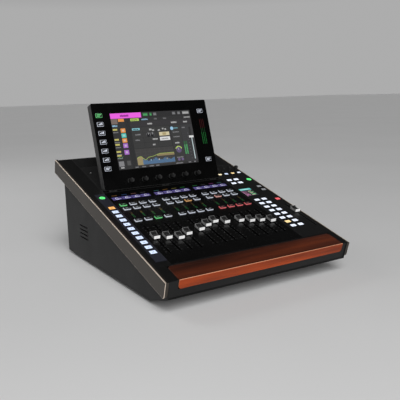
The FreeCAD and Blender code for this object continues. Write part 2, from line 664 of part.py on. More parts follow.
def hinge_brackets():
    """Three posts on the pocket floor that carry the hinge pins."""
    body = new_body("hinge_brackets")
    axis_v = ("dims.screen_edge_v + dims.hinge_w * cos(dims.screen_lean)"
              " - dims.hinge_m * sin(dims.screen_lean)")
    axis_n = ("dims.screen_edge_n + dims.hinge_w * sin(dims.screen_lean)"
              " + dims.hinge_m * cos(dims.screen_lean)")
    start = "dims.hinge_first - dims.knuckle_width / 2"
    steps = [("X_Axis", "dims.hinge_pitch", 3)]
    height = "(%s + dims.pocket_depth)" % axis_n
    post = rectangle(body, "YZ_Plane", "post", "2 * dims.hinge_radius", height, axis_v,
                     "-dims.pocket_depth + %s / 2" % height, start)
    repeat(body, pad(body, post, "dims.knuckle_width"), steps)
    eye = disc(body, "YZ_Plane", "eye", "dims.hinge_radius", axis_v, axis_n, start)
    repeat(body, pad(body, eye, "dims.knuckle_width"), steps)
    doc.recompute()
    bore = disc(body, "YZ_Plane", "bore", "dims.hinge_pin + dims.hinge_running", axis_v, axis_n,
                start)
    repeat(body, pocket(body, bore, "dims.knuckle_width", backwards=True), steps)
    lay_on_panel(body)


# ---------------------------------------------------------------- rear panel
def rear_sheet(label, low, high, screw, cutouts):
    """Sheet that closes part of the rear, with a cut-out behind each connector."""
    body = new_body(label)
    width = "2 * (dims.half_width - dims.trim_thickness - dims.side_thickness)"
    plate = rectangle(body, "XZ_Plane", "plate", width, "%s - (%s)" % (high, low), "0",
                      "(%s + %s) / 2" % (high, low), "-dims.base_rear")
    pad(body, plate, "dims.rear_thickness")
    for name, sign in (("left", "-1"), ("right", "1")):
        doc.recompute()
        hole = disc(body, "XZ_Plane", name + "_screw", "dims.screw_radius",
                    sign + " * dims.screw_x", screw, "-dims.base_rear")
        repeat(body, pocket(body, hole, "dims.rear_thickness", backwards=True),
               [("Z_Axis", "dims.screw_span / 3", 2)])
    for name, wide, tall, x, z, steps in cutouts:
        doc.recompute()
        cut = pocket(body, rectangle(body, "XZ_Plane", name, wide, tall, x, z,
                                     "-dims.base_rear"), "dims.rear_thickness", backwards=True)
        if steps:
            repeat(body, cut, steps)


def rear_panels():
    """One sheet above; below it the connector sheet and, past a seam, the mains sheet."""
    socket = "2 * dims.barrel_radius + dims.socket_play"
    rear_sheet("upper_rear_panel", "dims.rear_split", "dims.rear_top",
               "dims.screw_first + 2 * dims.screw_span / 3", [
                   ("inputs", socket, socket, "dims.socket_first", "dims.input_z",
                    [("X_Axis", "dims.socket_pitch", 12), ("Z_Axis", "dims.input_row_pitch", 2)])])
    rear_sheet("lower_rear_panels", "dims.foot_height + dims.sheet", "dims.rear_split",
               "dims.screw_first", [
                   ("seam", "dims.service_seam", "2 * dims.rear_split", "dims.service_edge", "0",
                    []),
                   ("outputs", socket, socket, "dims.output_first", "dims.output_z",
                    [("X_Axis", "dims.socket_pitch", 8)]),
                   ("network", socket, socket, "dims.network_first", "dims.output_z",
                    [("X_Axis", "dims.network_pitch", 2)]),
                   ("mains", "dims.mains_width + 2 * dims.mains_wall",
                    "dims.mains_height + 2 * dims.mains_wall", "dims.mains_x", "dims.mains_z", []),
                   ("rocker", "dims.rocker_width + 2 * dims.rocker_gap_x",
                    "dims.rocker_height + 2 * dims.rocker_gap_z", "dims.mains_x",
                    "dims.rocker_z", [])])


def round_sockets(label, first, level, steps, male):
    """Panel sockets with a square flange; the male ones are cups with three contact pins."""
    body = new_body(label)
    face = "-dims.base_rear"
    flange = rectangle(body, "XZ_Plane", "flange", "dims.flange_x", "dims.flange_z", first,
                       level, face)
    repeat(body, pad(body, flange, "dims.flange_y", backwards=True), steps)
    barrel = disc(body, "XZ_Plane", "barrel", "dims.barrel_radius", first, level, face)
    repeat(body, pad(body, barrel, "dims.barrel_depth"), steps)
    depth = "dims.cup_depth" if male else "dims.face_recess"
    doc.recompute()
    mouth = disc(body, "XZ_Plane", "mouth", "dims.cup_radius", first, level,
                 face + " - dims.flange_y")
    repeat(body, pocket(body, mouth, depth, backwards=True), steps)
    if male:
        for name, turn in (("first", 90), ("second", 210), ("third", 330)):
            x = "%s + dims.contact_offset * cos(%d)" % (first, turn)
            z = "%s + dims.contact_offset * sin(%d)" % (level, turn)
            contact = disc(body, "XZ_Plane", name + "_contact", "dims.contact_radius", x, z,
                           face + " - dims.flange_y + dims.cup_depth")
            repeat(body, pad(body, contact, "dims.contact_length", backwards=True), steps)


def network_sockets():
    """Network sockets in square housings, with the same flange as the round sockets."""
    body = new_body("network_sockets")
    steps = [("X_Axis", "dims.network_pitch", 2)]
    place = ("dims.network_first", "dims.output_z")
    face = "-dims.base_rear"
    flange = rectangle(body, "XZ_Plane", "flange", "dims.flange_x", "dims.flange_z", *place, face)
    repeat(body, pad(body, flange, "dims.flange_y", backwards=True), steps)
    housing = rectangle(body, "XZ_Plane", "housing", "2 * dims.barrel_radius",
                        "2 * dims.barrel_radius", *place, face)
    repeat(body, pad(body, housing, "dims.network_depth + dims.network_wall"), steps)
    doc.recompute()
    mouth = rectangle(body, "XZ_Plane", "mouth", "dims.network_width", "dims.network_height",
                      *place, face + " - dims.flange_y")
    repeat(body, pocket(body, mouth, "dims.network_depth + dims.flange_y", backwards=True), steps)


def mains_inlet():
    """Three-pole appliance inlet: ears, shell, cavity and three blades."""
    body = new_body("mains_inlet")
    face = "-dims.base_rear"
    place = ("dims.mains_x", "dims.mains_z")
    shell = ("dims.mains_width + 2 * dims.mains_wall", "dims.mains_height + 2 * dims.mains_wall")
    ears = rectangle(body, "XZ_Plane", "ears", "dims.mains_ear", shell[1], *place, face)
    pad(body, ears, "dims.flange_y", backwards=True)
    box = rectangle(body, "XZ_Plane", "box", *shell, *place, face)
    pad(body, box, "dims.mains_depth + dims.mains_wall - dims.flange_y")
    doc.recompute()
    cavity = rectangle(body, "XZ_Plane", "cavity", "dims.mains_width", "dims.mains_height",
                       *place, face + " - dims.flange_y")
    pocket(body, cavity, "dims.mains_depth", backwards=True)
    for name, along_x, up in (
            ("left", "-dims.blade_spread", "dims.outer_blade_z"),
            ("middle", "0", "dims.middle_blade_z"),
            ("right", "dims.blade_spread", "dims.outer_blade_z")):
        blade = rectangle(body, "XZ_Plane", name + "_blade", "dims.blade_width",
                          "dims.blade_height", "dims.mains_x + " + along_x,
                          "dims.mains_z + " + up, face + " - dims.flange_y + dims.mains_depth")
        pad(body, blade, "dims.blade_length", backwards=True)


def power_switch():
    """Rocker with a dished face, turning about a line through its middle."""
    body = new_body("power_switch")
    half = "dims.rocker_height / 2"
    profile = outline(body, "YZ_Plane", "profile", [
        ("dims.rocker_back", "dims.rocker_z - " + half),
        ("dims.rocker_front - dims.rocker_dish", "dims.rocker_z - " + half),
        ("dims.rocker_front - dims.rocker_dish", "dims.rocker_z"),
        ("dims.rocker_front + dims.rocker_dish", "dims.rocker_z + " + half),
        ("dims.rocker_back", "dims.rocker_z + " + half)],
        "dims.mains_x - dims.rocker_width / 2")
    pad(body, profile, "dims.rocker_width")


def rear_screws():
    body = new_body("rear_screws")
    for name, sign in (("left", "-1"), ("right", "1")):
        place = (sign + " * dims.screw_x", "dims.screw_first", "-dims.base_rear")
        steps = [("Z_Axis", "dims.screw_span / 3", 4)]
        head = disc(body, "XZ_Plane", name + "_head", "dims.screw_head", *place)
        repeat(body, pad(body, head, "dims.screw_head_rise", backwards=True), steps)
        shank = disc(body, "XZ_Plane", name + "_shank", "dims.screw_radius", *place)
        repeat(body, pad(body, shank, "dims.screw_length"), steps)


# ---------------------------------------------------------------- inside
def main_board():
    """Circuit board on four posts, with a row of heat-sunk processors."""
    body = new_body("main_board")
    width = "dims.board_right - dims.board_left"
    length = "dims.board_rear - dims.board_front"
    middle = ("(dims.board_right + dims.board_left) / 2",
              "(dims.board_rear + dims.board_front) / 2")
    board = rectangle(body, "XY_Plane", "board", width, length, *middle, "dims.board_z")
    pad(body, board, "dims.sheet")
    post = disc(body, "XY_Plane", "post", "dims.board_post",
                "dims.board_left + dims.board_inset", "dims.board_front + dims.board_inset",
                "dims.foot_height + dims.sheet")
    repeat(body, pad(body, post, "dims.board_z - dims.foot_height - dims.sheet"),
           [("X_Axis", width + " - 2 * dims.board_inset", 2),
            ("Y_Axis", length + " - 2 * dims.board_inset", 2)])
    chip = rectangle(body, "XY_Plane", "chip", "dims.chip_size", "dims.chip_size",
                     "dims.board_left + dims.chip_size", middle[1],
                     "dims.board_z + dims.sheet")
    repeat(body, pad(body, chip, "dims.chip_height"), [("X_Axis", "dims.chip_pitch", 4)])


def power_supply():
    body = new_body("power_supply")
    case = rectangle(body, "XY_Plane", "case", "dims.supply_width", "dims.supply_length",
                     "dims.supply_x", "dims.supply_y", "dims.foot_height + dims.sheet")
    pad(body, case, "dims.supply_height")


# ---------------------------------------------------------------- the whole console
chassis()
side_trims()
covers()
screen_pocket()
front_lip()
armrest()
feet()
for group in ("select", "solo", "mute"):
    key_group(group + "_keys", [group])
for group, group_fields in (
        ("layer_keys", ["layer"]), ("function_keys", ["quad", "knob_row"]),
        ("monitor_keys", ["monitor", "talk"])):
    key_group(group, group_fields, "dims.flush_rise")
key_group("column_keys", ["column"], "dims.flush_rise + dims.strip_rise")
round_keys()
panel_windows()
all_fader_caps()
fader_tracks()
fader_motors()
for number in range(4):
    panel_knob = knob("panel_knob_%d" % (number + 1), "dims.knob_radius", "dims.knob_height")
    lay_on_panel(panel_knob, "dims.knob_row_x + %d * dims.knob_row_pitch" % number, "dims.knob_v")
screen_housing()
screen_glass()
display_module()
screen_keys()
for number in range(6):
    encoder = knob("screen_knob_%d" % (number + 1), "dims.encoder_radius",
                   "dims.encoder_height")
    lay_on_screen(encoder, "dims.encoder_first + %d * dims.encoder_pitch" % number,
                  "dims.encoder_w")
hinge_arms()
hinge_brackets()
rear_panels()
round_sockets("microphone_inputs", "dims.socket_first", "dims.input_z",
              [("X_Axis", "dims.socket_pitch", 12), ("Z_Axis", "dims.input_row_pitch", 2)],
              male=False)
round_sockets("line_outputs", "dims.output_first", "dims.output_z",
              [("X_Axis", "dims.socket_pitch", 8)], male=True)
network_sockets()
mains_inlet()
power_switch()
rear_screws()
main_board()
power_supply()

doc.recompute()
for item in doc.Objects:
    if "Invalid" in item.State or "Error" in item.State:
        raise RuntimeError("failed object: " + item.Name)
for part in parts:
    if part.Shape.isNull() or not part.Shape.isValid():
        raise RuntimeError("bad shape: " + part.Label)

os.makedirs("parts", exist_ok=True)
whole = FreeCAD.BoundBox()
for part in parts:
    part.Shape.exportStep("parts/%s.step" % part.Label)
    whole.add(part.Shape.BoundBox)
print("%d parts, %s" % (len(parts), whole))
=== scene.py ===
import json
import math
import random
import bpy
from mathutils import Euler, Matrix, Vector


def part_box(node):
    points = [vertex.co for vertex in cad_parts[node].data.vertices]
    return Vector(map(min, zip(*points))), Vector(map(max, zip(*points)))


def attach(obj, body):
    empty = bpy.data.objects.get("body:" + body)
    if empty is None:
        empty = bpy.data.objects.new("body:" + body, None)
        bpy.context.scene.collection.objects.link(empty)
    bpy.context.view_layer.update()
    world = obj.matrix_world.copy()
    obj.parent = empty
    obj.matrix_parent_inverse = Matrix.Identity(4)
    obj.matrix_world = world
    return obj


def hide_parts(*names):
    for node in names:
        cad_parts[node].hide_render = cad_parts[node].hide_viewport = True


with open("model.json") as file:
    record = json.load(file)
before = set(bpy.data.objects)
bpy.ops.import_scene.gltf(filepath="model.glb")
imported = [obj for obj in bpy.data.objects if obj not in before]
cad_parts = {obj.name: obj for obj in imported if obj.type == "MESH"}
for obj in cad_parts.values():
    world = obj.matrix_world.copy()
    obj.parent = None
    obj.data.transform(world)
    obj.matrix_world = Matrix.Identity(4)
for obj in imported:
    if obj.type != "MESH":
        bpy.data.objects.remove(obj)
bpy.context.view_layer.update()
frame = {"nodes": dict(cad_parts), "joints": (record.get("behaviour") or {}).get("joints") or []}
nodes = frame["nodes"]
joints = {joint["name"]: joint for joint in frame["joints"]}
dice = random.Random(12)
mm = 0.001
print("frame loaded:", len(nodes), "nodes")


class Place:  # a flat working plane: its origin in metres and its right, up and out directions
    def __init__(self, origin, right, up, out):
        self.origin = Vector(origin)
        self.right = Vector(right)
        self.up = Vector(up)
        self.out = Vector(out)

    def at(self, x, v, n):
        return self.origin + (self.right * x + self.up * v + self.out * n) * mm

    def read(self, point):
        gap = (point - self.origin) / mm
        return gap.dot(self.right), gap.dot(self.up), gap.dot(self.out)


# each plane is found from joints: the knobs stand on it, so their axes point straight out
planeLook = {"knobRow": 116, "encoderRow": 17}


def planeUnder(jointName, knobUp):
    foot = Vector(joints[jointName]["pos_m"])
    out = Vector(joints[jointName]["axis"]).normalized()
    right = Vector((1, 0, 0))
    up = out.cross(right)
    return Place(Vector((0, foot.y, foot.z)) - up * knobUp * mm, right, up, out)


panel = planeUnder("panel_knob_1_turn", planeLook["knobRow"])
glass = planeUnder("screen_knob_1_turn", planeLook["encoderRow"])
rearFace = Place((0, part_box("upper_rear_panel")[1].y, 0), (-1, 0, 0), (0, 0, 1), (0, 1, 0))
ground = Place((0, 0, 0), (1, 0, 0), (0, 1, 0), (0, 0, 1))
panelTilt = math.atan2(panel.up.z, panel.up.y)


def limits(points):
    return [min(axis) for axis in zip(*points)], [max(axis) for axis in zip(*points)]


def span(nodeName, place):  # lowest and highest corner of a node, in a plane's own millimetres
    return limits([place.read(vertex.co) for vertex in nodes[nodeName].data.vertices])


def looseBoxes(nodeName, place):  # the same for each separate solid of a node, row by row
    mesh = nodes[nodeName].data
    leader = list(range(len(mesh.vertices)))

    def top(index):
        while leader[index] != index:
            leader[index] = leader[leader[index]]
            index = leader[index]
        return index

    firstAt = {}
    for vertex in mesh.vertices:
        spot = tuple(round(c / (0.01 * mm)) for c in vertex.co)
        leader[top(vertex.index)] = top(firstAt.setdefault(spot, vertex.index))
    for edge in mesh.edges:
        leader[top(edge.vertices[0])] = top(edge.vertices[1])
    groups = {}
    for vertex in mesh.vertices:
        groups.setdefault(top(vertex.index), []).append(place.read(vertex.co))
    boxes = [limits(points) for points in groups.values()]
    return sorted(boxes, key=lambda box: (-round(box[0][1]), box[0][0]))


def middle(box):
    return (box[0][0] + box[1][0]) / 2, (box[0][1] + box[1][1]) / 2


class Wire:  # a node socket that takes part in sums
    def __init__(self, owner, socket):
        self.owner = owner
        self.socket = socket

    def sum(self, operation, first, second):
        return self.owner.node("ShaderNodeMath", {"operation": operation}, {0: first, 1: second})

    def __add__(self, other):
        return self.sum("ADD", self, other)

    def __radd__(self, other):
        return self.sum("ADD", other, self)

    def __sub__(self, other):
        return self.sum("SUBTRACT", self, other)

    def __rsub__(self, other):
        return self.sum("SUBTRACT", other, self)

    def __mul__(self, other):
        return self.sum("MULTIPLY", self, other)

    def __rmul__(self, other):
        return self.sum("MULTIPLY", other, self)

    def __pow__(self, other):
        return self.sum("POWER", self, other)


class Nodes:  # makes and joins the nodes of one tree
    def __init__(self, tree):
        self.tree = tree

    def feed(self, socket, value):
        if isinstance(value, Wire):
            self.tree.links.new(value.socket, socket)
        else:
            socket.default_value = value

    def node(self, kind, settings=None, sockets=None, output=0):
        made = self.tree.nodes.new(kind)
        for key, value in (settings or {}).items():
            if key == "stops":
                for spot, colour in value[1:-1]:
                    made.color_ramp.elements.new(spot)
                for element, (spot, colour) in zip(made.color_ramp.elements, value):
                    element.position = spot
                    element.color = (*colour, 1)
            else:
                setattr(made, key, value)
        for key, value in (sockets or {}).items():
            self.feed(made.inputs[key], value)
        return Wire(self, made.outputs[output])


class Finish(Nodes):  # one material
    def __init__(self, name, **sockets):
        self.material = bpy.data.materials.new(name)
        self.material.use_nodes = True
        super().__init__(self.material.node_tree)
        self.shader = self.tree.nodes["Principled BSDF"]
        self.surface(**sockets)

    def surface(self, **sockets):
        for key, value in sockets.items():
            self.feed(self.shader.inputs[key.replace("_", " ")], value)

    def mix(self, factor, first, second):
        return self.node("ShaderNodeMix", {"data_type": "RGBA"},
                         {0: factor, 6: rgba(first), 7: rgba(second)}, output=2)

    def spread(self, stretch=(1, 1, 1), tilt=0):
        spot = self.node("ShaderNodeTexCoord", output=3)
        if tilt:
            spot = self.node("ShaderNodeMapping", None, {"Vector": spot, "Rotation": (-tilt, 0, 0)})
        return self.node("ShaderNodeMapping", None, {"Vector": spot, "Scale": stretch})

    def noise(self, scale, detail=3, stretch=(1, 1, 1), tilt=0):
        return self.node("ShaderNodeTexNoise", None, {
            "Vector": self.spread(stretch, tilt), "Scale": scale, "Detail": detail})

    def bump(self, height, depth, strength=1.0):
        return self.node("ShaderNodeBump", None, {
            "Height": height, "Distance": depth, "Strength": strength})

    def tint(self):
        return self.node("ShaderNodeAttribute", {"attribute_name": "tint"})


def rgba(colour):
    return colour if isinstance(colour, Wire) else (*colour, 1)


def grey(level, warmth=0.0):
    return (level * (1 + warmth), level, level * (1 - warmth))


def paintedMetal(name, dark, light, roughness, grain=1400, depth=0.00004):
    finish = Finish(name, Specular_IOR_Level=0.25)
    patches = finish.noise(14, 4)
    pebble = finish.noise(grain, 2)
    finish.surface(Base_Color=finish.mix(patches * 0.6 + pebble * 0.4, dark, light),
                   Roughness=roughness + 0.16 * (patches - 0.5),
                   Normal=finish.bump(pebble, depth))
    return finish.material


def mouldedPlastic(name, dark, light, roughness, grain=900, depth=0.00003, coat=0.0):
    finish = Finish(name, Coat_Weight=coat, Coat_Roughness=0.12, Specular_IOR_Level=0.3)
    patches = finish.noise(30, 3)
    grainNoise = finish.noise(grain, 2)
    finish.surface(Base_Color=finish.mix(patches, dark, light),
                   Roughness=roughness + 0.14 * (patches - 0.5),
                   Normal=finish.bump(grainNoise, depth))
    return finish.material


def brushedMetal(name, dark, light, roughness, stretch, tilt=0, depth=0.00002, metal=1.0):
    finish = Finish(name, Metallic=metal)
    strokes = finish.noise(60, 4, stretch, tilt)
    patches = finish.noise(9, 3)
    finish.surface(Base_Color=finish.mix(0.65 * strokes + 0.35 * patches, dark, light),
                   Roughness=roughness + 0.22 * (strokes - 0.5),
                   Normal=finish.bump(strokes, depth, 0.6))
    return finish.material


def litPlastic(name, strength, gloss=0.3):  # back-lit plastic; each face brings its own colour
    finish = Finish(name, Emission_Strength=strength, Coat_Weight=0.3)
    cloud = finish.noise(420, 2)
    glow = finish.mix(0.2 * cloud, finish.tint(), (0, 0, 0))
    finish.surface(Base_Color=finish.mix(0.5, finish.tint(), grey(0.25)), Emission_Color=glow,
                   Roughness=gloss + 0.12 * cloud)
    return finish.material


def litDisplay(name, strength):  # a picture under clear cover glass, with faint rows of dots
    finish = Finish(name, Emission_Strength=strength, Coat_Weight=0.6, Coat_Roughness=0.04)
    dots = finish.noise(2600, 1)
    glow = finish.mix(0.22 * dots, finish.tint(), (0, 0, 0))
    smear = finish.noise(26, 4)
    finish.surface(Base_Color=finish.mix(smear, grey(0.008), grey(0.014)), Emission_Color=glow,
                   Roughness=0.1 + 0.1 * smear)
    return finish.material


def glossOverlay(name, dark, light):  # smooth black surface with a faint smear
    finish = Finish(name, Specular_IOR_Level=0.16)
    smear = finish.noise(18, 5)
    dust = finish.noise(1100, 2)
    finish.surface(Base_Color=finish.mix(smear, dark, light), Roughness=0.17 + 0.14 * smear,
                   Normal=finish.bump(dust, 0.000004, 0.5))
    return finish.material


# the armrest's wood in three copies of one stain: the top darkened as painted shade, the front face
# brightened as painted light, the eased front edge made pale as a painted highlight
woodLook = {
    "woodTop": ((0.014, 0.003, 0.001), (0.07, 0.013, 0.004), (0.16, 0.03, 0.007)),
    "woodEdge": ((0.5, 0.22, 0.12), (0.62, 0.3, 0.18), (0.75, 0.42, 0.28)),
    "woodFront": ((0.1, 0.014, 0.002), (0.34, 0.046, 0.005), (0.56, 0.1, 0.012)),
    "grain": (2.2, 30, 30), "pores": (9, 260, 260)}


def stainedWood(name):
    dark, mid, light = woodLook[name]
    finish = Finish(name, Coat_Weight=0.1, Coat_Roughness=0.25, Specular_IOR_Level=0.25)
    sway = finish.noise(7, 2, (0.6, 3, 3), panelTilt)
    grain = finish.noise(1.6, 8, woodLook["grain"], panelTilt)
    figure = (grain * 0.75 + sway * 0.35) ** 1.4
    pores = finish.noise(5, 3, woodLook["pores"], panelTilt)
    colour = finish.node("ShaderNodeValToRGB", {"stops": [
        (0.22, dark), (0.46, mid), (0.72, light)]}, {0: figure})
    colour = finish.mix(0.35 * pores, colour, dark)
    finish.surface(Base_Color=colour, Roughness=0.36 + 0.22 * pores,
                   Normal=finish.bump(pores * 0.6 + grain, 0.00012, 0.5))
    return finish.material


def circuitBoard(name):
    finish = Finish(name, Coat_Weight=0.3)
    tracks = finish.node("ShaderNodeTexBrick", {"offset": 0.35}, {
        "Vector": finish.spread(), "Scale": 60, "Mortar Size": 0.012,
        "Color1": (0.01, 0.09, 0.03, 1), "Color2": (0.012, 0.12, 0.04, 1),
        "Mortar": (0.03, 0.2, 0.08, 1)})
    dirt = finish.noise(40, 3)
    finish.surface(Base_Color=finish.mix(0.3 * dirt, tracks, (0.01, 0.03, 0.01)),
                   Roughness=0.35 + 0.2 * dirt)
    return finish.material


recipes = {  # each finish's maker and the values it is given after the name
    "chassisBlack": (paintedMetal, grey(0.003), grey(0.007), 0.5),
    "sectionGrey": (paintedMetal, grey(0.005), grey(0.009), 0.4),
    "stripGrey": (paintedMetal, (0.013, 0.014, 0.02), (0.021, 0.022, 0.031), 0.4),
    "pocketGrey": (paintedMetal, grey(0.012), grey(0.02), 0.46),
    "overlayBlack": (glossOverlay, grey(0.001), grey(0.003)),
    "lipBlack": (mouldedPlastic, grey(0.002), grey(0.005), 0.4),
    # the trim's brushed metal darkened well below champagne: a painted dark reflection
    "trimBrushed": (brushedMetal, (0.05, 0.043, 0.037), (0.14, 0.125, 0.11), 0.42, (1, 0.6, 24),
                    panelTilt),
    # the shoulder's bright metal: a polished chamfer, its colour raised further as a painted highlight
    "trimEdge": (brushedMetal, (0.66, 0.55, 0.45), (0.84, 0.72, 0.61), 0.34, (20, 0.6, 20), panelTilt,
                 0.00002, 0.5),
    "shellSatin": (paintedMetal, grey(0.03), grey(0.042), 0.4),
    "coverGlass": (glossOverlay, grey(0.0006), grey(0.0015)),
    "steelBare": (brushedMetal, grey(0.38), grey(0.56), 0.3, (14, 1, 1)),
    "zincPlate": (brushedMetal, (0.42, 0.42, 0.45), (0.6, 0.6, 0.62), 0.34, (1, 1, 1)),
    "millAlloy": (brushedMetal, grey(0.45), grey(0.6), 0.4, (1, 9, 9), panelTilt),
    "circuitBoard": (circuitBoard,),
    "rubber": (mouldedPlastic, grey(0.01), grey(0.018), 0.8, 500, 0.00008),
    "socketNylon": (mouldedPlastic, grey(0.012), grey(0.02), 0.42),
    "contactMetal": (brushedMetal, (0.6, 0.5, 0.3), (0.8, 0.68, 0.42), 0.25, (1, 9, 1)),
    "windowSmoke": (glossOverlay, grey(0.003), grey(0.005)),
    "woodTop": (stainedWood,),
    "woodFront": (stainedWood,),
    "woodEdge": (stainedWood,),
    "capSilver": (mouldedPlastic, grey(0.16), grey(0.22), 0.36, 700, 0.00001),
    "capSaddle": (mouldedPlastic, grey(0.008), grey(0.014), 0.42, 700, 0.00002),
    # near-white front face of the fader caps: painted light, the front lit brighter than the top
    "capFace": (mouldedPlastic, grey(0.88), grey(0.95), 0.35, 700, 0.00001, 0.3),
    "keyDark": (mouldedPlastic, grey(0.012), grey(0.02), 0.4, 1100, 0.00001),
    "keyIcon": (mouldedPlastic, (0.03, 0.035, 0.06), (0.05, 0.055, 0.08), 0.5),
    "keyLight": (litPlastic, 1.0),
    "screenLight": (litDisplay, 1.0),
    "knobBlack": (mouldedPlastic, grey(0.002), grey(0.004), 0.55, 800, 0.00004),
    "knobLine": (mouldedPlastic, grey(0.05), grey(0.07), 0.5),
    "ink": (mouldedPlastic, grey(0.1), grey(0.16), 0.55),
}
finishes = {name: build(name, *values) for name, (build, *values) in recipes.items()}
print("finishes made:", len(finishes))


def putInScene(name, data):
    made = bpy.data.objects.new(name, data)
    bpy.context.scene.collection.objects.link(made)
    return made


def flatRing(x, v, width, length, n):
    return [(x - width / 2, v - length / 2, n), (x + width / 2, v - length / 2, n),
            (x + width / 2, v + length / 2, n), (x - width / 2, v + length / 2, n)]


class Shape:  # gathers points and faces laid out on a plane, then makes one mesh of them
    def __init__(self, place, *finishNames):
        self.place = place
        self.finishNames = finishNames
        self.points = []
        self.faces = []
        self.slots = []
        self.tints = []

    def add(self, points, faces, finishName, tint=(1, 1, 1)):
        base = len(self.points)
        self.points += [self.place.at(*point) for point in points]
        self.faces += [[base + index for index in face] for face in faces]
        self.slots += [self.finishNames.index(finishName)] * len(faces)
        self.tints += [tint] * len(faces)

    def loft(self, rings, finishName, tint=(1, 1, 1), capStart=True, capEnd=True):
        count = len(rings[0])
        points = [point for ring in rings for point in ring]
        faces = []
        for level in range(len(rings) - 1):
            for i in range(count):
                j = (i + 1) % count
                low = level * count
                faces.append((low + i, low + j, low + count + j, low + count + i))
        if capStart:
            faces.append(tuple(reversed(range(count))))
        if capEnd:
            faces.append(tuple(range(len(points) - count, len(points))))
        self.add(points, faces, finishName, tint)

    def block(self, x, v, width, length, low, high, finishName, tint=(1, 1, 1)):
        self.loft([flatRing(x, v, width, length, n) for n in (low, high)], finishName, tint)

    def leaf(self, x, v, width, length, n, finishName, tint=(1, 1, 1)):
        self.add(flatRing(x, v, width, length, n), [(0, 1, 2, 3)], finishName, tint)

    def make(self, name, body, slotName, *replaced, sharp=32):
        mesh = bpy.data.meshes.new(name)
        mesh.from_pydata(self.points, [], self.faces)
        for finishName in self.finishNames:
            mesh.materials.append(finishes[finishName])
        mesh.polygons.foreach_set("material_index", self.slots)
        colours = mesh.color_attributes.new("tint", "FLOAT_COLOR", "CORNER")
        for polygon in mesh.polygons:
            for corner in polygon.loop_indices:
                colours.data[corner].color = (*self.tints[polygon.index], 1)
        mesh.shade_smooth()
        mesh.set_sharp_from_angle(angle=math.radians(sharp))
        made = putInScene(name, mesh)
        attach(made, body)
        if replaced:
            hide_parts(*replaced)


def roundedRing(x, v, halfX, halfV, radius, n, steps=4):
    ring = []
    radius = max(0.01, min(radius, halfX, halfV))
    for corner in range(4):
        signX = (1, -1, -1, 1)[corner]
        signV = (1, 1, -1, -1)[corner]
        for step in range(steps + 1):
            angle = math.pi / 2 * (corner + step / steps)
            ring.append((x + signX * (halfX - radius) + radius * math.cos(angle),
                         v + signV * (halfV - radius) + radius * math.sin(angle), n))
    return ring


def circleRing(x, v, radius, n, steps=32):
    turns = [2 * math.pi * step / steps for step in range(steps)]
    return [(x + radius * math.cos(a), v + radius * math.sin(a), n) for a in turns]


def softBlock(shape, box, radius, edge, finishName, tint=(1, 1, 1), dish=0.0, low=None, high=None):
    (x0, v0, n0), (x1, v1, n1) = box  # a rounded block with eased top edges and a faint hollow on top
    n0 = n0 if low is None else low
    n1 = n1 if high is None else high
    x, v = middle(box)
    halfX, halfV = (x1 - x0) / 2, (v1 - v0) / 2
    rings = [roundedRing(x, v, halfX, halfV, radius, n0)]
    for step in range(4):
        angle = math.pi / 2 * step / 3
        inset = edge * (1 - math.cos(angle))
        rings.append(roundedRing(x, v, halfX - inset, halfV - inset, radius - inset,
                                 n1 - edge + edge * math.sin(angle)))
    if dish:
        rings.append(roundedRing(x, v, halfX * 0.6, halfV * 0.6, radius, n1 - dish))
    shape.loft(rings, finishName, tint)


cadFinish = {  # the nodes that keep their CAD shape, under the finish that each is given
    "chassisBlack": ("chassis", "upper_rear_panel", "lower_rear_panels", "hinge_brackets", "hinge_arms",
                     "fader_tracks"),
    "lipBlack": ("left_cheek", "front_lip"), "stripGrey": ("button_strip",),
    "overlayBlack": ("channel_panel",), "sectionGrey": ("master_panel",), "pocketGrey": ("screen_pocket",),
    "windowSmoke": ("panel_windows",), "circuitBoard": ("main_board",), "millAlloy": ("power_supply",),
    "socketNylon": ("microphone_inputs", "line_outputs", "mains_inlet", "power_switch"),
    "zincPlate": ("fader_motors", "network_sockets", "rear_screws", "display_module"),
    "shellSatin": ("screen_housing",), "coverGlass": ("screen_glass",),
}
for finishName, nodeNames in cadFinish.items():
    for nodeName in nodeNames:
        nodes[nodeName].data.materials.clear()
        nodes[nodeName].data.materials.append(finishes[finishName])
print("carried-over nodes painted")

# line and lift place a flat bright metal strip on each trim's top along the outer edge: a painted highlight
trimLook = {"corner": 7, "shoulder": 0.9, "line": 1.4, "lift": 0.02, "arcSteps": 6, "shoulderSteps": 4}


def trimOutline(low, high, inset, x):  # side view, in which only the lower front corner is rounded
    corner = trimLook["corner"]
    ring = [(high[1] - inset, low[2] + inset), (high[1] - inset, high[2] - inset),
            (low[1] + inset, high[2] - inset)]
    for step in range(trimLook["arcSteps"] + 1):
        angle = math.pi * (1 + 0.5 * step / trimLook["arcSteps"])
        ring.append((low[1] + corner + (corner - inset) * math.cos(angle),
                     low[2] + corner + (corner - inset) * math.sin(angle)))
    return [(x, v, n) for v, n in ring]


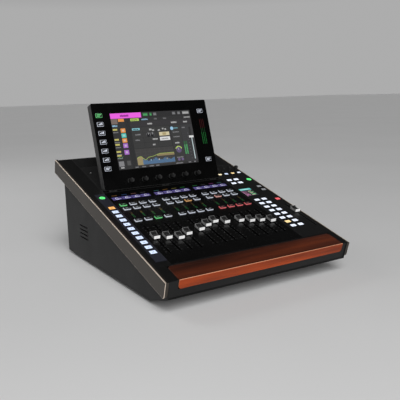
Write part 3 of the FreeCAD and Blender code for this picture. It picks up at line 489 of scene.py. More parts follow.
def sideTrims():
    shape = Shape(panel, "trimBrushed", "trimEdge")
    for low, high in looseBoxes("side_trims", panel):
        onLeft = low[0] < 0
        outer, inner = (low[0], high[0]) if onLeft else (high[0], low[0])
        inward = math.copysign(trimLook["shoulder"], inner - outer)
        rings = []
        for step in range(trimLook["shoulderSteps"] + 1):
            angle = math.pi / 2 * step / trimLook["shoulderSteps"]
            inset = trimLook["shoulder"] * (1 - math.sin(angle))
            rings.append(trimOutline(low, high, inset, outer + inward * (1 - math.cos(angle))))
        rings.append(trimOutline(low, high, 0, inner))
        if not onLeft:
            rings = [ring[::-1] for ring in rings]
        # the rounded outer shoulder in the bright edge finish: polished chamfer plus painted highlight
        shape.loft(rings[:-1], "trimEdge", capStart=False, capEnd=False)
        shape.loft(rings[-2:], "trimBrushed", capStart=False)
        # a flat bright strip laid on the top along the outer edge: a painted highlight
        highlightLineX = outer + inward + math.copysign(trimLook["line"] / 2, inward)
        highlightLineLength = high[1] - low[1] - 2 * trimLook["shoulder"]
        shape.leaf(highlightLineX, (low[1] + high[1]) / 2, trimLook["line"], highlightLineLength, high[2] + trimLook["lift"],
                   "trimEdge")
        shape.add(rings[0], [tuple(reversed(range(len(rings[0]))))], "trimBrushed")
    shape.make("side_trims_shaped", "console", "trim", "side_trims", sharp=20)


sideTrims()

armrestLook = {"rearCorner": 8, "footCorner": 6, "edge": 0.9, "edgeSteps": 4, "cornerSteps": 8}


def armrest():
    shape = Shape(panel, "woodTop", "woodFront", "woodEdge")
    low, high = span("armrest", panel)
    middleX, halfX = (low[0] + high[0]) / 2, (high[0] - low[0]) / 2
    edge, foot, corner = armrestLook["edge"], armrestLook["footCorner"], armrestLook["rearCorner"]

    def section(v):
        past = max(0, v - (high[1] - corner))
        half = halfX - corner + math.sqrt(max(0, corner ** 2 - past ** 2))
        near = edge - min(edge, v - low[1], high[1] - v)
        ceiling = high[2] - edge + math.sqrt(max(0, edge ** 2 - near ** 2))
        ring = []
        for quarter, radius in ((1, edge), (0, edge), (3, foot), (2, foot)):
            signX = 1 if quarter in (0, 3) else -1
            centreN = high[2] - edge if quarter < 2 else low[2] + foot
            for step in range(armrestLook["edgeSteps"] + 1):
                angle = math.pi / 2 * (quarter + 1 - step / armrestLook["edgeSteps"])
                ring.append((middleX + signX * (half - radius) + radius * math.cos(angle), v,
                             min(ceiling, centreN + radius * math.sin(angle))))
        return ring

    steps = armrestLook["edgeSteps"]
    stations = [low[1] + edge * (1 - math.cos(math.pi / 2 * step / steps)) for step in range(steps + 1)]
    steps = armrestLook["cornerSteps"]
    stations += [high[1] - corner * (1 - math.sin(math.pi / 2 * step / steps)) for step in range(steps + 1)]
    rings = [section(v) for v in stations]
    # top in the darker copy (painted shade), front face in the brighter copy (painted light), eased front
    # edge in the pale copy (painted highlight)
    shape.loft(rings[steps // 2:], "woodTop", capStart=False)
    shape.loft(rings[:2], "woodFront", capEnd=False)
    shape.loft(rings[1:steps // 2 + 1], "woodEdge", capStart=False, capEnd=False)
    shape.make("wooden_armrest", "console", "armrest", "armrest")


armrest()
print("trims and armrest made")

lightColours = {
    "white": (0.8, 0.86, 1.0), "blueWhite": (0.62, 0.74, 1.0), "green": (0.05, 0.85, 0.16),
    "orange": (1.0, 0.45, 0.06), "amber": (1.0, 0.72, 0.3), "cream": (1.0, 0.84, 0.52),
    "pink": (1.0, 0.42, 0.36), "red": (1.0, 0.06, 0.08), "dim": (0.2, 0.21, 0.23),
    "teal": (0.12, 0.62, 0.62), "blue": (0.1, 0.32, 0.95), "yellow": (0.85, 0.75, 0.15),
    "magenta": (0.95, 0.14, 0.85),
}
keyLook = {"corner": 1.4, "edge": 0.4, "foot": -1.5, "dish": 0.12, "capThickness": 0.55,
           "capInset": 0.62, "capEdge": 0.3, "capDish": 0.1, "skirtEdge": 0.25, "overlap": 0.1,
           "lens": 0.25, "rim": 0.75, "glow": 0.85, "skirtGlow": 0.4}
# the keys that are not white, counted row by row from the rear left
keyColours = {
    "select_keys": {0: "green"}, "solo_keys": {6: "orange", 9: "pink"},
    "mute_keys": {2: "green", 8: "red", 9: "red", 10: "red", 11: "red"}, "screen_keys": {0: "green"},
    "column_keys": {0: "orange", **{number: "blueWhite" for number in range(1, 11)}},
    "layer_keys": {12: "amber"}, "function_keys": {0: "cream", 1: "blueWhite", 2: "amber"},
    "monitor_keys": {0: "dim", 1: "dim", 2: "red"},
}


def scaled(colour, level):
    return tuple(channel * level for channel in colour)


def icon(shape, x, v, n, width, length, kind, finishName, tint=(1, 1, 1)):
    if kind == 0:  # two bars
        shape.leaf(x, v + length * 0.25, width, length * 0.22, n, finishName, tint)
        shape.leaf(x - width * 0.15, v - length * 0.25, width * 0.7, length * 0.22, n, finishName, tint)
    elif kind == 1:  # a frame
        for side in (-1, 1):
            shape.leaf(x + side * width * 0.4, v, width * 0.16, length, n, finishName, tint)
            shape.leaf(x, v + side * length * 0.4, width, length * 0.18, n, finishName, tint)
    elif kind == 2:  # three steps
        for step in (-1, 0, 1):
            shape.leaf(x + step * width * 0.32, v + step * length * 0.12, width * 0.2,
                       length * (0.6 + 0.2 * step), n, finishName, tint)
    else:  # an arrow head
        shape.add([(x - width / 2, v - length / 2, n), (x + width / 2, v, n),
                   (x - width / 2, v + length / 2, n)], [(0, 1, 2)], finishName, tint)


def keyBoxes(label, place):  # each key's box, place, size and colour
    for number, box in enumerate(looseBoxes(label, place)):
        colour = lightColours[keyColours[label].get(number, "white")]
        yield box, middle(box), (box[1][0] - box[0][0], box[1][1] - box[0][1]), colour


def shrunk(box, inset):
    return (box[0][0] + inset, box[0][1] + inset, 0), (box[1][0] - inset, box[1][1] - inset, 0)


def litKeys(label, glow=keyLook["glow"], iconShare=(0.3, 0.26)):
    shape = Shape(panel, "keyLight", "keyIcon", "keyDark")
    for box, (x, v), (width, length), colour in keyBoxes(label, panel):
        top = box[1][2]
        softBlock(shape, box, keyLook["corner"], keyLook["edge"], "keyDark",
                  low=keyLook["foot"], high=top - keyLook["lens"])
        softBlock(shape, shrunk(box, keyLook["rim"]), keyLook["corner"] - keyLook["edge"], keyLook["lens"],
                  "keyLight", scaled(colour, glow), keyLook["dish"],
                  low=top - keyLook["lens"] - keyLook["overlap"], high=top)
        icon(shape, x, v - length * 0.04, top - keyLook["dish"] + 0.02, width * iconShare[0],
             length * iconShare[1], dice.randrange(4), "keyIcon")
    shape.make(label + "_lit", label.replace("_keys", "_key_group"), "key", label)


def cappedKeys(label, place, slotName, glow=keyLook["skirtGlow"], iconGlow=0.3, iconShare=(0.42, 0.32),
               iconKinds=(0, 0, 1, 2)):
    shape = Shape(place, "keyLight", "keyDark")
    for box, (x, v), (width, length), colour in keyBoxes(label, place):
        skirtTop = box[1][2] - keyLook["capThickness"]
        softBlock(shape, box, keyLook["corner"], keyLook["skirtEdge"], "keyLight", scaled(colour, glow),
                  low=keyLook["foot"], high=skirtTop)
        softBlock(shape, shrunk(box, keyLook["capInset"]), keyLook["corner"] - keyLook["capEdge"],
                  keyLook["capEdge"], "keyDark", dish=keyLook["capDish"],
                  low=skirtTop - keyLook["overlap"], high=box[1][2])
        icon(shape, x, v, box[1][2] - 0.06, width * iconShare[0], length * iconShare[1],
             dice.choice(iconKinds), "keyLight", scaled(colour, iconGlow))
    shape.make(label + "_capped", label.replace("_keys", "_key_group"), slotName, label)


for label in ("select_keys", "solo_keys", "mute_keys"):
    cappedKeys(label, panel, "channel_key")
cappedKeys("screen_keys", glass, "key", 0.42, 0.6, (0.66, 0.62), (0, 0, 0, 2))
litKeys("column_keys")
litKeys("layer_keys", 0.95)
litKeys("function_keys", 1.0)
litKeys("monitor_keys", 0.8)

roundLook = {"bevel": 0.5, "lensIn": 1.1, "lensDip": 0.1, "dishIn": 3.4, "dishDip": 0.3, "arcOut": 3.0,
             "arcIn": 2.2, "arcTurn": 2.6, "arcStart": 0.2, "arcSteps": 12, "arcDip": 0.05}


def roundKeys():
    look = roundLook
    shape = Shape(panel, "keyLight", "keyDark")
    for box in looseBoxes("round_keys", panel):
        x, v = middle(box)
        radius, top = (box[1][0] - box[0][0]) / 2, box[1][2]
        rim = circleRing(x, v, radius - look["bevel"], top)
        shape.loft([circleRing(x, v, radius, keyLook["foot"]),
                    circleRing(x, v, radius, top - look["bevel"]), rim], "keyDark", capEnd=False)
        shape.loft([rim, circleRing(x, v, radius - look["lensIn"], top - look["lensDip"]),
                    circleRing(x, v, radius - look["dishIn"], top - look["dishDip"])], "keyLight",
                   lightColours["green"], capStart=False)
        for start in (look["arcStart"], math.pi + look["arcStart"]):
            points = []
            for step in range(look["arcSteps"] + 1):
                angle = start + look["arcTurn"] * step / look["arcSteps"]
                for reach in (look["arcIn"], look["arcOut"]):
                    points.append((x + reach * math.cos(angle), v + reach * math.sin(angle),
                                   top - look["arcDip"]))
            faces = [(2 * i, 2 * i + 1, 2 * i + 3, 2 * i + 2) for i in range(look["arcSteps"])]
            shape.add(points, faces, "keyDark")
    shape.make("round_keys_lit", "round_key_group", "key", "round_keys")


roundKeys()
print("keys made")

knobLook = {"flutes": 16, "fluteDepth": 0.35, "foot": 1.0, "skirt": 1.6, "steps": 96, "shaft": 3.0,
            "lineWidth": 0.7}


def knob(label, place):
    shape = Shape(place, "knobBlack", "knobLine", "steelBare")
    low, high = span(label, place)
    x, v = middle((low, high))
    radius, foot, top = (high[0] - low[0]) / 2, knobLook["foot"], high[2]
    skirt, shaft, wide = foot + knobLook["skirt"], knobLook["shaft"], knobLook["lineWidth"]

    def fluted(size, n, share):
        ring = []
        for step in range(knobLook["steps"]):
            angle = 2 * math.pi * step / knobLook["steps"]
            wave = 0.5 - 0.5 * math.cos(knobLook["flutes"] * angle)
            reach = size - share * knobLook["fluteDepth"] * wave ** 2
            ring.append((x + reach * math.cos(angle), v + reach * math.sin(angle), n))
        return ring

    # inset from the full radius, height, and share of the flutes' depth
    outline = [(0.2, foot, 0), (0, foot + 0.3, 0), (0, skirt, 0), (0.7, skirt + 0.5, 1),
               (0.9, top - 1.0, 1), (1.1, top - 0.4, 1), (1.7, top, 0.3), (2.4, top - 0.25, 0)]
    shape.loft([fluted(radius - inset, n, share) for inset, n, share in outline], "knobBlack")
    shape.loft([circleRing(x, v, shaft, low[2]), circleRing(x, v, shaft, foot + 0.1)], "steelBare")
    shape.block(x, v + radius * 0.62, wide, radius * 0.5, top - 0.3, top + 0.02, "knobLine")
    shape.block(x, v + radius - 0.95, wide, 0.5, top - 3.6, top - 0.5, "knobLine")
    shape.make(label + "_turned", label, "knob", label)


for rowName, place, count in (("screen", glass, 6), ("panel", panel, 4)):
    for number in range(1, count + 1):
        knob("%s_knob_%d" % (rowName, number), place)
print("knobs made")

capLook = {"rim": 0.9, "lean": 0.45, "base": 1.5, "dip": 3.0, "arcSteps": 14, "lineWidth": 0.35,
           "chamfer": 0.35, "faceMargin": 0.25, "blade": (1.2, 8)}


def faderCap(label, body):
    shape = Shape(panel, "capSilver", "capSaddle", "capFace", "steelBare")
    low, high = span(label, panel)
    x0, x1, v0, v1 = low[0], high[0], low[1], high[1]
    base, top, lean, cut = capLook["base"], high[2], capLook["lean"], capLook["chamfer"]
    middleV, half = (v0 + v1) / 2, (v1 - v0) / 2 - lean

    def saddle(along):  # height of the hollow top at a share from -1 to 1 of its length
        return top - capLook["dip"] * (1 - along * along)

    def profile(inset):
        points = [(v0 + inset, base + inset), (v1 - inset, base + inset), (v1 - lean - inset, top - inset)]
        for step in range(1, capLook["arcSteps"]):
            along = 1 - 2 * step / capLook["arcSteps"]
            points.append((middleV + along * half, saddle(along) - inset))
        points.append((v0 + lean + inset, top - inset))
        return points

    rings = []
    for x, inset in ((x0, cut), (x0 + cut, 0), (x1 - cut, 0), (x1, cut)):
        rings.append([(x, v, n) for v, n in profile(inset)])
    shape.loft(rings, "capSilver")
    rows = []
    for step in range(capLook["arcSteps"] + 1):
        along = 0.94 * (1 - 2 * step / capLook["arcSteps"])
        rows.append((middleV + along * half, saddle(along) + 0.06))
    rim = capLook["rim"]
    points = [(x, v, n) for v, n in rows for x in (x0 + rim, x1 - rim)]
    faces = [(2 * i, 2 * i + 2, 2 * i + 3, 2 * i + 1) for i in range(len(rows) - 1)]
    shape.add(points, faces, "capSaddle")
    shape.leaf((x0 + x1) / 2, middleV, x1 - x0 - 2 * rim, capLook["lineWidth"], saddle(0) + 0.1,
               "capSilver")
    # a near-white sheet over each cap's front face: painted light
    margin = capLook["faceMargin"]
    face = []
    for n in (base + margin, top - margin):
        v = v0 + lean * (n - base) / (top - base) - 0.05
        face.append([(x0 + cut, v, n), (x1 - cut, v, n)])
    shape.add([face[0][0], face[0][1], face[1][1], face[1][0]], [(0, 1, 2, 3)], "capFace")
    shape.block((x0 + x1) / 2, middleV, *capLook["blade"], low[2], base + 0.2, "steelBare")
    shape.make(label + "_shaped", body, "cap", label)


faderNames = [str(number) for number in range(1, 13)] + ["main"]
for name in faderNames:
    faderCap("fader_cap_" + name, "fader_" + name)
print("fader caps made")

windows = looseBoxes("panel_windows", panel)
meterBoxes = [box for box in windows if box[1][0] - box[0][0] < 12]
stripBoxes = [box for box in windows if box[1][0] - box[0][0] > 60]
mainBox = [box for box in windows if box not in meterBoxes and box not in stripBoxes][0]
channelCentres = [middle(box)[0] for box in looseBoxes("select_keys", panel)]


class Picture:  # flat lit shapes on a display; a higher level lies over a lower one
    def __init__(self, place, x, v, n):
        self.shape = Shape(place, "screenLight")
        self.x = x
        self.v = v
        self.n = n

    def lift(self, level):
        return self.n + 0.02 * level

    def block(self, x, v, width, height, colour, level=1):
        self.shape.leaf(self.x + x + width / 2, self.v + v + height / 2, width, height,
                        self.lift(level), "screenLight", colour)

    def words(self, x, v, width, height, colour, level=3):  # a run of small marks that reads as text
        spot = x
        while spot < x + width - 0.4:
            step = min(dice.uniform(0.7, 2.2), x + width - spot)
            tall = height * dice.uniform(0.72, 1.0)
            self.block(spot, v, step * 0.78, tall, colour, level)
            spot += step

    def disc(self, x, v, radius, colour, level=2, inner=0.0, start=0.0, turn=2 * math.pi, steps=28):
        points = []
        for step in range(steps + 1):
            angle = start + turn * step / steps
            for reach in (inner, radius):
                points.append((self.x + x + reach * math.cos(angle), self.v + v + reach * math.sin(angle),
                               self.lift(level)))
        faces = [(2 * i, 2 * i + 1, 2 * i + 3, 2 * i + 2) for i in range(steps)]
        self.shape.add(points, faces, "screenLight", colour)

    def line(self, points, width, colour, level=3):
        for (x0, v0), (x1, v1) in zip(points, points[1:]):
            long = math.hypot(x1 - x0, v1 - v0)
            dx, dv = -(v1 - v0) / long * width / 2, (x1 - x0) / long * width / 2
            corners = [(x0 - dx, v0 - dv), (x1 - dx, v1 - dv), (x1 + dx, v1 + dv), (x0 + dx, v0 + dv)]
            self.patch(corners, colour, level)

    def patch(self, corners, colour, level):
        self.shape.add([(self.x + x, self.v + v, self.lift(level)) for x, v in corners], [(0, 1, 2, 3)],
                       "screenLight", colour)

    def fill(self, points, floor, colour, level=2):
        for (x0, v0), (x1, v1) in zip(points, points[1:]):
            corners = [(x0, floor), (x1, floor), (x1, v1), (x0, v0)]
            self.patch(corners, colour, level)


def channelMeters():
    shape = Shape(panel, "screenLight")
    look = {"segments": 16, "bar": 1.0, "spacing": 2.6, "margin": 2.5}
    for box in meterBoxes:
        x = middle(box)[0]
        step = (box[1][1] - box[0][1] - 2 * look["margin"]) / look["segments"]
        for side in (-1, 1):
            level = dice.randrange(6, look["segments"])
            for segment in range(look["segments"]):
                share = segment / look["segments"]
                colour = "green" if share < 0.45 else "yellow" if share < 0.75 else "orange"
                glow = 0.2 if segment < level else 0.025
                v = box[0][1] + look["margin"] + step * (segment + 0.5)
                shape.leaf(x + side * look["spacing"] / 2, v, look["bar"], step * 0.62, box[1][2] + 0.03,
                           "screenLight", scaled(lightColours[colour], glow))
    shape.make("channel_meter_lights", "console", "display")


def stripDisplays():
    look = {"margin": 1.0, "gap": 1.0, "base": (0.045, 0.035, 0.16), "patch": (0.2, 0.16, 0.5),
            "loop": (0.75, 0.74, 0.95), "stroke": 1.3, "lineRise": 6, "line": (13, 2.2)}
    headers = ["orange", "blue", "pink", "dim", "teal", "orange", "yellow", "green", "green", "dim",
               "magenta", "teal"]
    picture = Picture(panel, 0, 0, stripBoxes[0][1][2] + 0.03)
    for number, centre in enumerate(channelCentres):
        box = stripBoxes[number // 4]
        slot = (box[1][0] - box[0][0]) / 4
        left = box[0][0] + slot * (number % 4) + look["gap"] / 2
        width = slot - look["gap"]
        low, tall = box[0][1] + look["margin"], box[1][1] - box[0][1] - 2 * look["margin"]
        radius = tall * 0.36
        picture.block(left, low, width, tall, look["base"], 1)
        picture.block(left, low + tall * 0.12, width, tall * 0.5, scaled(look["patch"], 0.45), 2)
        picture.words(left + 1, low + tall * 0.7, width * 0.4, tall * 0.16, look["patch"])
        picture.disc(left + width * dice.uniform(0.52, 0.62), low + tall * 0.5, radius, look["loop"], 4,
                     radius - look["stroke"], dice.uniform(0.2, 0.9), dice.uniform(3.2, 4.4), 16)
        picture.words(left + width * 0.3, low + tall * 0.26, width * 0.6, tall * 0.2, look["loop"], 4)
        picture.words(left + 1, low + tall * 0.04, width * 0.7, tall * 0.1, look["patch"])
        picture.block(centre - look["line"][0] / 2, box[1][1] + look["lineRise"], *look["line"],
                      scaled(lightColours[headers[number]], 0.14), 1)
    picture.shape.make("strip_display_pictures", "console", "display")


def mainDisplay():
    width, height = mainBox[1][0] - mainBox[0][0], mainBox[1][1] - mainBox[0][1]
    picture = Picture(panel, mainBox[0][0], mainBox[0][1], mainBox[1][2] + 0.03)
    picture.block(1.5, 1.5, width - 3, height - 3, (0.012, 0.014, 0.02), 1)
    picture.block(2, height - 12, width - 4, 9, (0.16, 0.7, 0.68), 2)
    picture.words(4, height - 9, width - 12, 3, (0.6, 0.9, 0.9))
    picture.block(2, 2, 1.3, height - 16, (0.6, 0.28, 0.5), 3)
    for row in range(5):
        picture.words(3, height - 20 - row * 5, dice.uniform(8, 14), 1.8, (0.75, 0.3, 0.55))
        picture.block(19, height - 20 - row * 5, 9 + 5 * (row % 2), 2.2,
                      ((0.85, 0.8, 0.6), (0.2, 0.6, 0.25))[row % 2], 2)
    for x, colour, turn in ((10, (0.9, 0.35, 0.7), 4.3), (26, (0.25, 0.8, 0.4), 3.6)):
        picture.disc(x, 8, 4.6, colour, 3, 3.4, -0.6, turn)
    picture.shape.make("main_display_picture", "console", "display")


channelMeters()
stripDisplays()
mainDisplay()
print("panel displays made")

printLook = {"lift": 0.04, "tick": 0.32, "shortTick": 3.0, "longTick": 4.4, "gap": 3.2, "steps": 10,
             "travel": 100}


def panelPrint():
    shape = Shape(panel, "ink")
    slides = [middle(span("fader_cap_" + name, panel))[0] for name in faderNames]
    rest = middle(span("fader_cap_1", panel))[1]
    lowest = rest + joints["fader_1_slide"]["range_m"][0] / mm
    for x in slides:
        for step in range(printLook["steps"] + 1):
            v = lowest + printLook["travel"] * step / printLook["steps"]
            tick = printLook["longTick"] if step in (0, 7, printLook["steps"]) else printLook["shortTick"]
            for side in (-1, 1):
                shape.leaf(x + side * (printLook["gap"] + tick / 2), v, tick, printLook["tick"],
                           printLook["lift"], "ink")
    shape.make("fader_scales", "console", "deck")


panelPrint()
print("panel print made")

pictureLook = {"left": -135.7, "low": 44.8, "width": 217, "height": 135.6, "lift": 0.05}
picturePaint = {
    "back": (0.028, 0.028, 0.029), "panel": (0.039, 0.039, 0.039), "bar": (0.022, 0.022, 0.023),
    "line": (0.09, 0.09, 0.09), "text": (0.5, 0.5, 0.5), "soft": (0.24, 0.24, 0.25),
    "magenta": (0.95, 0.13, 0.85), "plum": (0.2, 0.01, 0.2), "orange": (0.85, 0.33, 0.08),
    "teal": (0.12, 0.62, 0.55), "violet": (0.42, 0.16, 0.6), "yellow": (0.6, 0.55, 0.15),
    "lime": (0.55, 0.75, 0.15), "cyan": (0.25, 0.6, 0.68), "sky": (0.35, 0.62, 0.85),
    "blue": (0.09, 0.19, 0.34), "cream": (0.7, 0.62, 0.4), "white": (0.8, 0.8, 0.8),
    "green": (0.08, 0.42, 0.14), "gold": (0.5, 0.4, 0.2), "black": (0.01, 0.01, 0.012),
    "dusk": (0.12, 0.09, 0.18),
}


def pictureHeader(picture, paint):  # title bar, tool icons and the row of labels under it
    picture.block(0, 122, 217, 13.6, paint["bar"])
    picture.block(0, 122.5, 80, 12.5, paint["magenta"], 2)
    for x in (3, 8.4):
        picture.block(x, 125.5, 4, 6.5, paint["plum"])
    picture.words(25, 126, 22, 5.5, paint["plum"])
    for x, width, colour in ((85, 13, "green"), (103, 6, "green"), (113, 9, "soft"), (166, 9, "soft"),
                             (181, 8, "soft"), (195, 19, "text")):
        picture.block(x, 125.5, width, 7.5, scaled(paint[colour], 0.5), 2)
        picture.words(x + 1, 127, width - 2, 4, paint[colour])
    picture.block(0, 109, 16, 13, (0.2, 0.15, 0.13), 2)
    picture.block(3, 111, 6, 8, paint["soft"])
    picture.block(18, 114.5, 15, 7, paint["orange"], 2)
    picture.block(50, 114.5, 22, 6, paint["lime"], 2)
    picture.words(52, 116, 17, 2.6, paint["black"])
    for x, width, colour in ((79, 17, "sky"), (113, 8, "soft"), (138, 9, "soft"), (197, 18, "text")):
        picture.words(x, 115.5, width, 4, scaled(paint[colour], 0.7))
    picture.block(47, 100, 170, 12.5, (0.035, 0.033, 0.036), 2)
    for x, width in ((93, 13), (158, 16), (193, 12)):
        picture.words(x, 104, width, 4.2, paint["text"])


def pictureList(picture, paint):  # the list of channels down the left side
    picture.words(1, 103, 13, 4, paint["sky"])
    picture.block(0, 100, 17, 0.5, paint["line"])
    for v in (94, 70, 58, 41, 32):
        picture.block(1, v, 11, 4, paint["yellow"], 2)
        picture.words(1, v - 6, 13, 2.6, paint["soft"])
    for v, height, colour in ((88, 10, "orange"), (76, 10, "teal"), (64, 10, "orange"),
                              (51, 11, "violet"), (35, 11, "violet")):
        picture.block(20.5, v, 12, height, paint[colour])
        bright = tuple(0.45 * channel + 0.4 for channel in paint[colour])
        picture.block(24, v + height * 0.28, 5, height * 0.44, bright, 4)
    picture.line([(1, 27), (6, 30), (10, 26), (15, 31)], 0.8, paint["green"])
    picture.block(2, 8, 13, 12, paint["soft"], 2)
    picture.block(23, 9, 9, 11, paint["line"], 2)
    picture.words(5, 3, 9, 4, paint["text"])
    picture.block(35, 0, 12, 122, paint["bar"], 2)


def pictureModules(picture, paint):  # boxes with dials, labels and value fields
    picture.block(48, 47, 103, 52, paint["panel"], 2)
    for v in (60, 72.5, 84.5, 98.5, 47):
        picture.block(48, v, 103, 0.5, paint["bar"], 3)
    for x in (76, 114, 151):
        picture.block(x, 47, 0.6, 52, paint["bar"], 3)
    picture.block(50, 91.5, 20, 5, paint["cyan"], 3)
    picture.words(52, 92.6, 15, 2.4, paint["black"], 4)
    for x, v, width, height in ((56, 79, 14, 3.4), (54, 66, 12, 3)):
        picture.words(x, v, width, height, paint["soft"])
    for x in (91, 101):
        picture.disc(x, 79, 5.6, paint["black"], 3)
        picture.disc(x, 79, 5.2, paint["soft"], 4, 4.4, -0.7, 4.2)
        picture.line([(x, 79), (x + 1.6, 83.4)], 0.7, paint["white"], 5)
    for x, v, width, height in ((95, 89.5, 7, 4.5), (103, 87.5, 5, 4), (130, 90, 4.5, 4.5),
                                (137, 88, 4.5, 4.5), (118, 87, 6, 4)):
        picture.words(x, v, width, height, scaled(paint["white"], 0.7))
    for x, v, width, height in ((100, 65.5, 14, 4), (98, 52, 7, 4.4)):
        picture.words(x, v, width, height, paint["text"])
    picture.block(120, 74.5, 28, 9, paint["cream"], 3)
    picture.block(129, 76, 10, 6, scaled(paint["gold"], 0.9), 4)
    picture.block(120, 62.5, 28, 9, paint["white"], 3)
    picture.words(124, 65, 19, 3.6, scaled(paint["text"], 0.6), 4)


def pictureCurve(picture, paint):  # filter curve over a row of spectrum bars
    picture.block(48, 5, 104, 41, (0.05, 0.048, 0.047), 2)
    for step in range(1, 8):
        picture.block(48 + 13 * step, 5, 0.3, 41, paint["line"], 3)
    for step in range(1, 5):
        picture.block(48, 5 + 8.2 * step, 104, 0.3, paint["line"], 3)
    curve = [(50, 24), (56, 27), (62, 27), (68, 21), (73, 18), (80, 24), (95, 26), (108, 30), (113, 31),
             (152, 31)]
    picture.fill([(50, 24), (56, 27), (62, 27), (66, 23)], 7, scaled(paint["gold"], 0.7), 4)
    picture.fill([(104, 28.5), (113, 31), (152, 31)], 25, scaled(paint["gold"], 0.55), 4)
    picture.line(curve, 0.9, scaled(paint["lime"], 0.8), 6)
    spot = 64
    while spot < 151:
        height = 10 + 2 * math.sin(spot * 0.21) + dice.uniform(-1.5, 2.5)
        picture.block(spot, 7.5, 1.9, height, paint["blue"], 5)
        spot += 2.3
    for x, colour in ((66, "soft"), (86, "sky"), (108, "white"), (130, "gold")):
        picture.disc(x, 17, 1.6, scaled(paint[colour], 0.8), 6)
    for x, width in ((42, 8), (60, 10), (79, 12), (97, 9), (152, 20), (188, 8), (204, 6)):
        picture.words(x, 1.4, width, 3, paint["soft"], 6)


def pictureOutput(picture, paint):  # pan dial, level bars and the fader on the right
    picture.block(154, 5, 28, 94, paint["panel"], 2)
    picture.block(183, 5, 34, 94, (0.042, 0.042, 0.045), 2)
    picture.disc(157.5, 91, 4.4, paint["sky"], 4)
    picture.block(163, 90, 11, 2.4, scaled(paint["cyan"], 0.6), 3)
    for v in (80, 68):
        picture.words(158, v, 18, 2.8, paint["soft"])
    picture.words(160, 52, 12, 4, paint["text"])
    picture.disc(167, 36, 7.4, paint["dusk"], 3)
    picture.disc(167, 36, 9.6, paint["lime"], 4, 7.6, 0.3, 2.5)
    picture.line([(167, 36), (164, 42)], 0.8, paint["white"], 5)
    picture.words(158, 16, 18, 3, paint["soft"])
    for x in (163, 173):
        picture.disc(x, 12, 3.6, scaled(paint["dusk"], 1.3), 3)
    for x in (184, 189.5):
        for step in range(15):
            level = 1.0 if step < 11 else 0.35
            picture.block(x, 24 + 2.2 * step, 3.6, 1.6, scaled(paint["green"], level), 3)
    picture.words(186, 90, 9, 3, paint["soft"])
    picture.block(205, 66, 5.5, 26, paint["bar"], 3)
    picture.block(208.6, 10, 2.2, 56, (0.6, 0.72, 0.74), 4)
    picture.block(202.5, 64.5, 13, 5, paint["white"], 5)
    for step in range(9):
        picture.block(199, 12 + 8 * step, 2.5, 0.5, paint["soft"], 4)


def touchPicture():
    look = pictureLook
    picture = Picture(glass, look["left"], look["low"], look["lift"])
    picture.block(0, 0, look["width"], look["height"], picturePaint["back"], 0)
    for draw in (pictureHeader, pictureList, pictureModules, pictureCurve, pictureOutput):
        draw(picture, picturePaint)
    picture.shape.make("touch_picture", "screen", "display")


meterLook = {"first": 106, "pitch": 5, "width": 1.2, "low": 91, "top": 156, "segments": 22, "redFrom": 0.6}


def screenMeters():
    picture = Picture(glass, 0, 0, 0.05)
    step = (meterLook["top"] - meterLook["low"]) / meterLook["segments"]
    for column in range(3):
        x = meterLook["first"] + meterLook["pitch"] * column
        for segment in range(meterLook["segments"]):
            share = segment / meterLook["segments"]
            colour = "green" if share < meterLook["redFrom"] else "red"
            glow = 0.3 if share < 0.42 else 0.08
            picture.block(x - meterLook["width"] / 2, meterLook["low"] + step * segment, meterLook["width"],
                          step * 0.66, scaled(lightColours[colour], glow))
    picture.shape.make("screen_level_lights", "screen", "display")


touchPicture()
screenMeters()
print("touch screen picture made")

backLook = {"screwInset": 9, "screwRadius": 2.3, "ventPitch": 4.2, "ventCount": 9, "ventLength": 46,
            "ventWidth": 1.8, "ventDown": 26, "coverInset": 14, "coverRise": 0.35, "coverCorner": 6}


def screwHead(shape, x, v, n, radius):
    top = n + radius * 0.52
    shape.loft([circleRing(x, v, radius, n, 20), circleRing(x, v, radius, n + radius * 0.3, 20),
                circleRing(x, v, radius * 0.72, top, 20)], "zincPlate", capStart=False)
    # the cross slot is drawn as two flat dark bars on the head: painted shade in the recess
    for wide, long in ((0.95, 0.22), (0.22, 0.95)):
        shape.leaf(x, v, radius * wide, radius * long, top + 0.02, "socketNylon")


def screenBack():
    low, high = span("screen_housing", glass)
    backPlace = Place(glass.at(0, 0, low[2]), -glass.right, glass.up, -glass.out)
    shape = Shape(backPlace, "shellSatin", "zincPlate", "socketNylon", "chassisBlack")
    x, v = -(low[0] + high[0]) / 2, (low[1] + high[1]) / 2
    halfX = (high[0] - low[0]) / 2 - backLook["coverInset"]
    halfV = (high[1] - low[1]) / 2 - backLook["coverInset"]
    rise, corner, inset = backLook["coverRise"], backLook["coverCorner"], backLook["screwInset"]
    rings = [roundedRing(x, v, halfX - shrink, halfV - shrink, corner - shrink, n, 6)
             for shrink, n in ((0, 0), (0, rise * 0.5), (0.4, rise))]
    shape.loft(rings, "shellSatin", capStart=False)
    for side in (-1, 1):
        for end in (-1, 1):
            screwHead(shape, x + side * (halfX - inset), v + end * (halfV - inset), rise,
                      backLook["screwRadius"])
        # each vent is a flat dark slot drawn on the cover: painted shade standing in for the opening
        for row in range(backLook["ventCount"]):
            spot = v + halfV - backLook["ventDown"] - backLook["ventPitch"] * row
            ring = roundedRing(x + side * halfX * 0.45, spot, backLook["ventLength"] / 2,
                               backLook["ventWidth"] / 2, backLook["ventWidth"] / 2, rise + 0.02)
            shape.add(ring, [tuple(range(len(ring)))], "socketNylon")
    shape.make("screen_back_cover", "screen", "screen_shell")


rearLook = {"screwX": 10, "screwZ": 12.35, "screwRadius": 1.7, "barrel": 9.4, "barrelEdge": 0.6,
            "contactCircle": 4.5, "latchUp": 11.6, "latch": (6.2, 3.6), "numberSize": 6.5, "numberUp": 16,
            "numberLift": 0.04, "endPlate": 1.6, "endGap": 0.2}
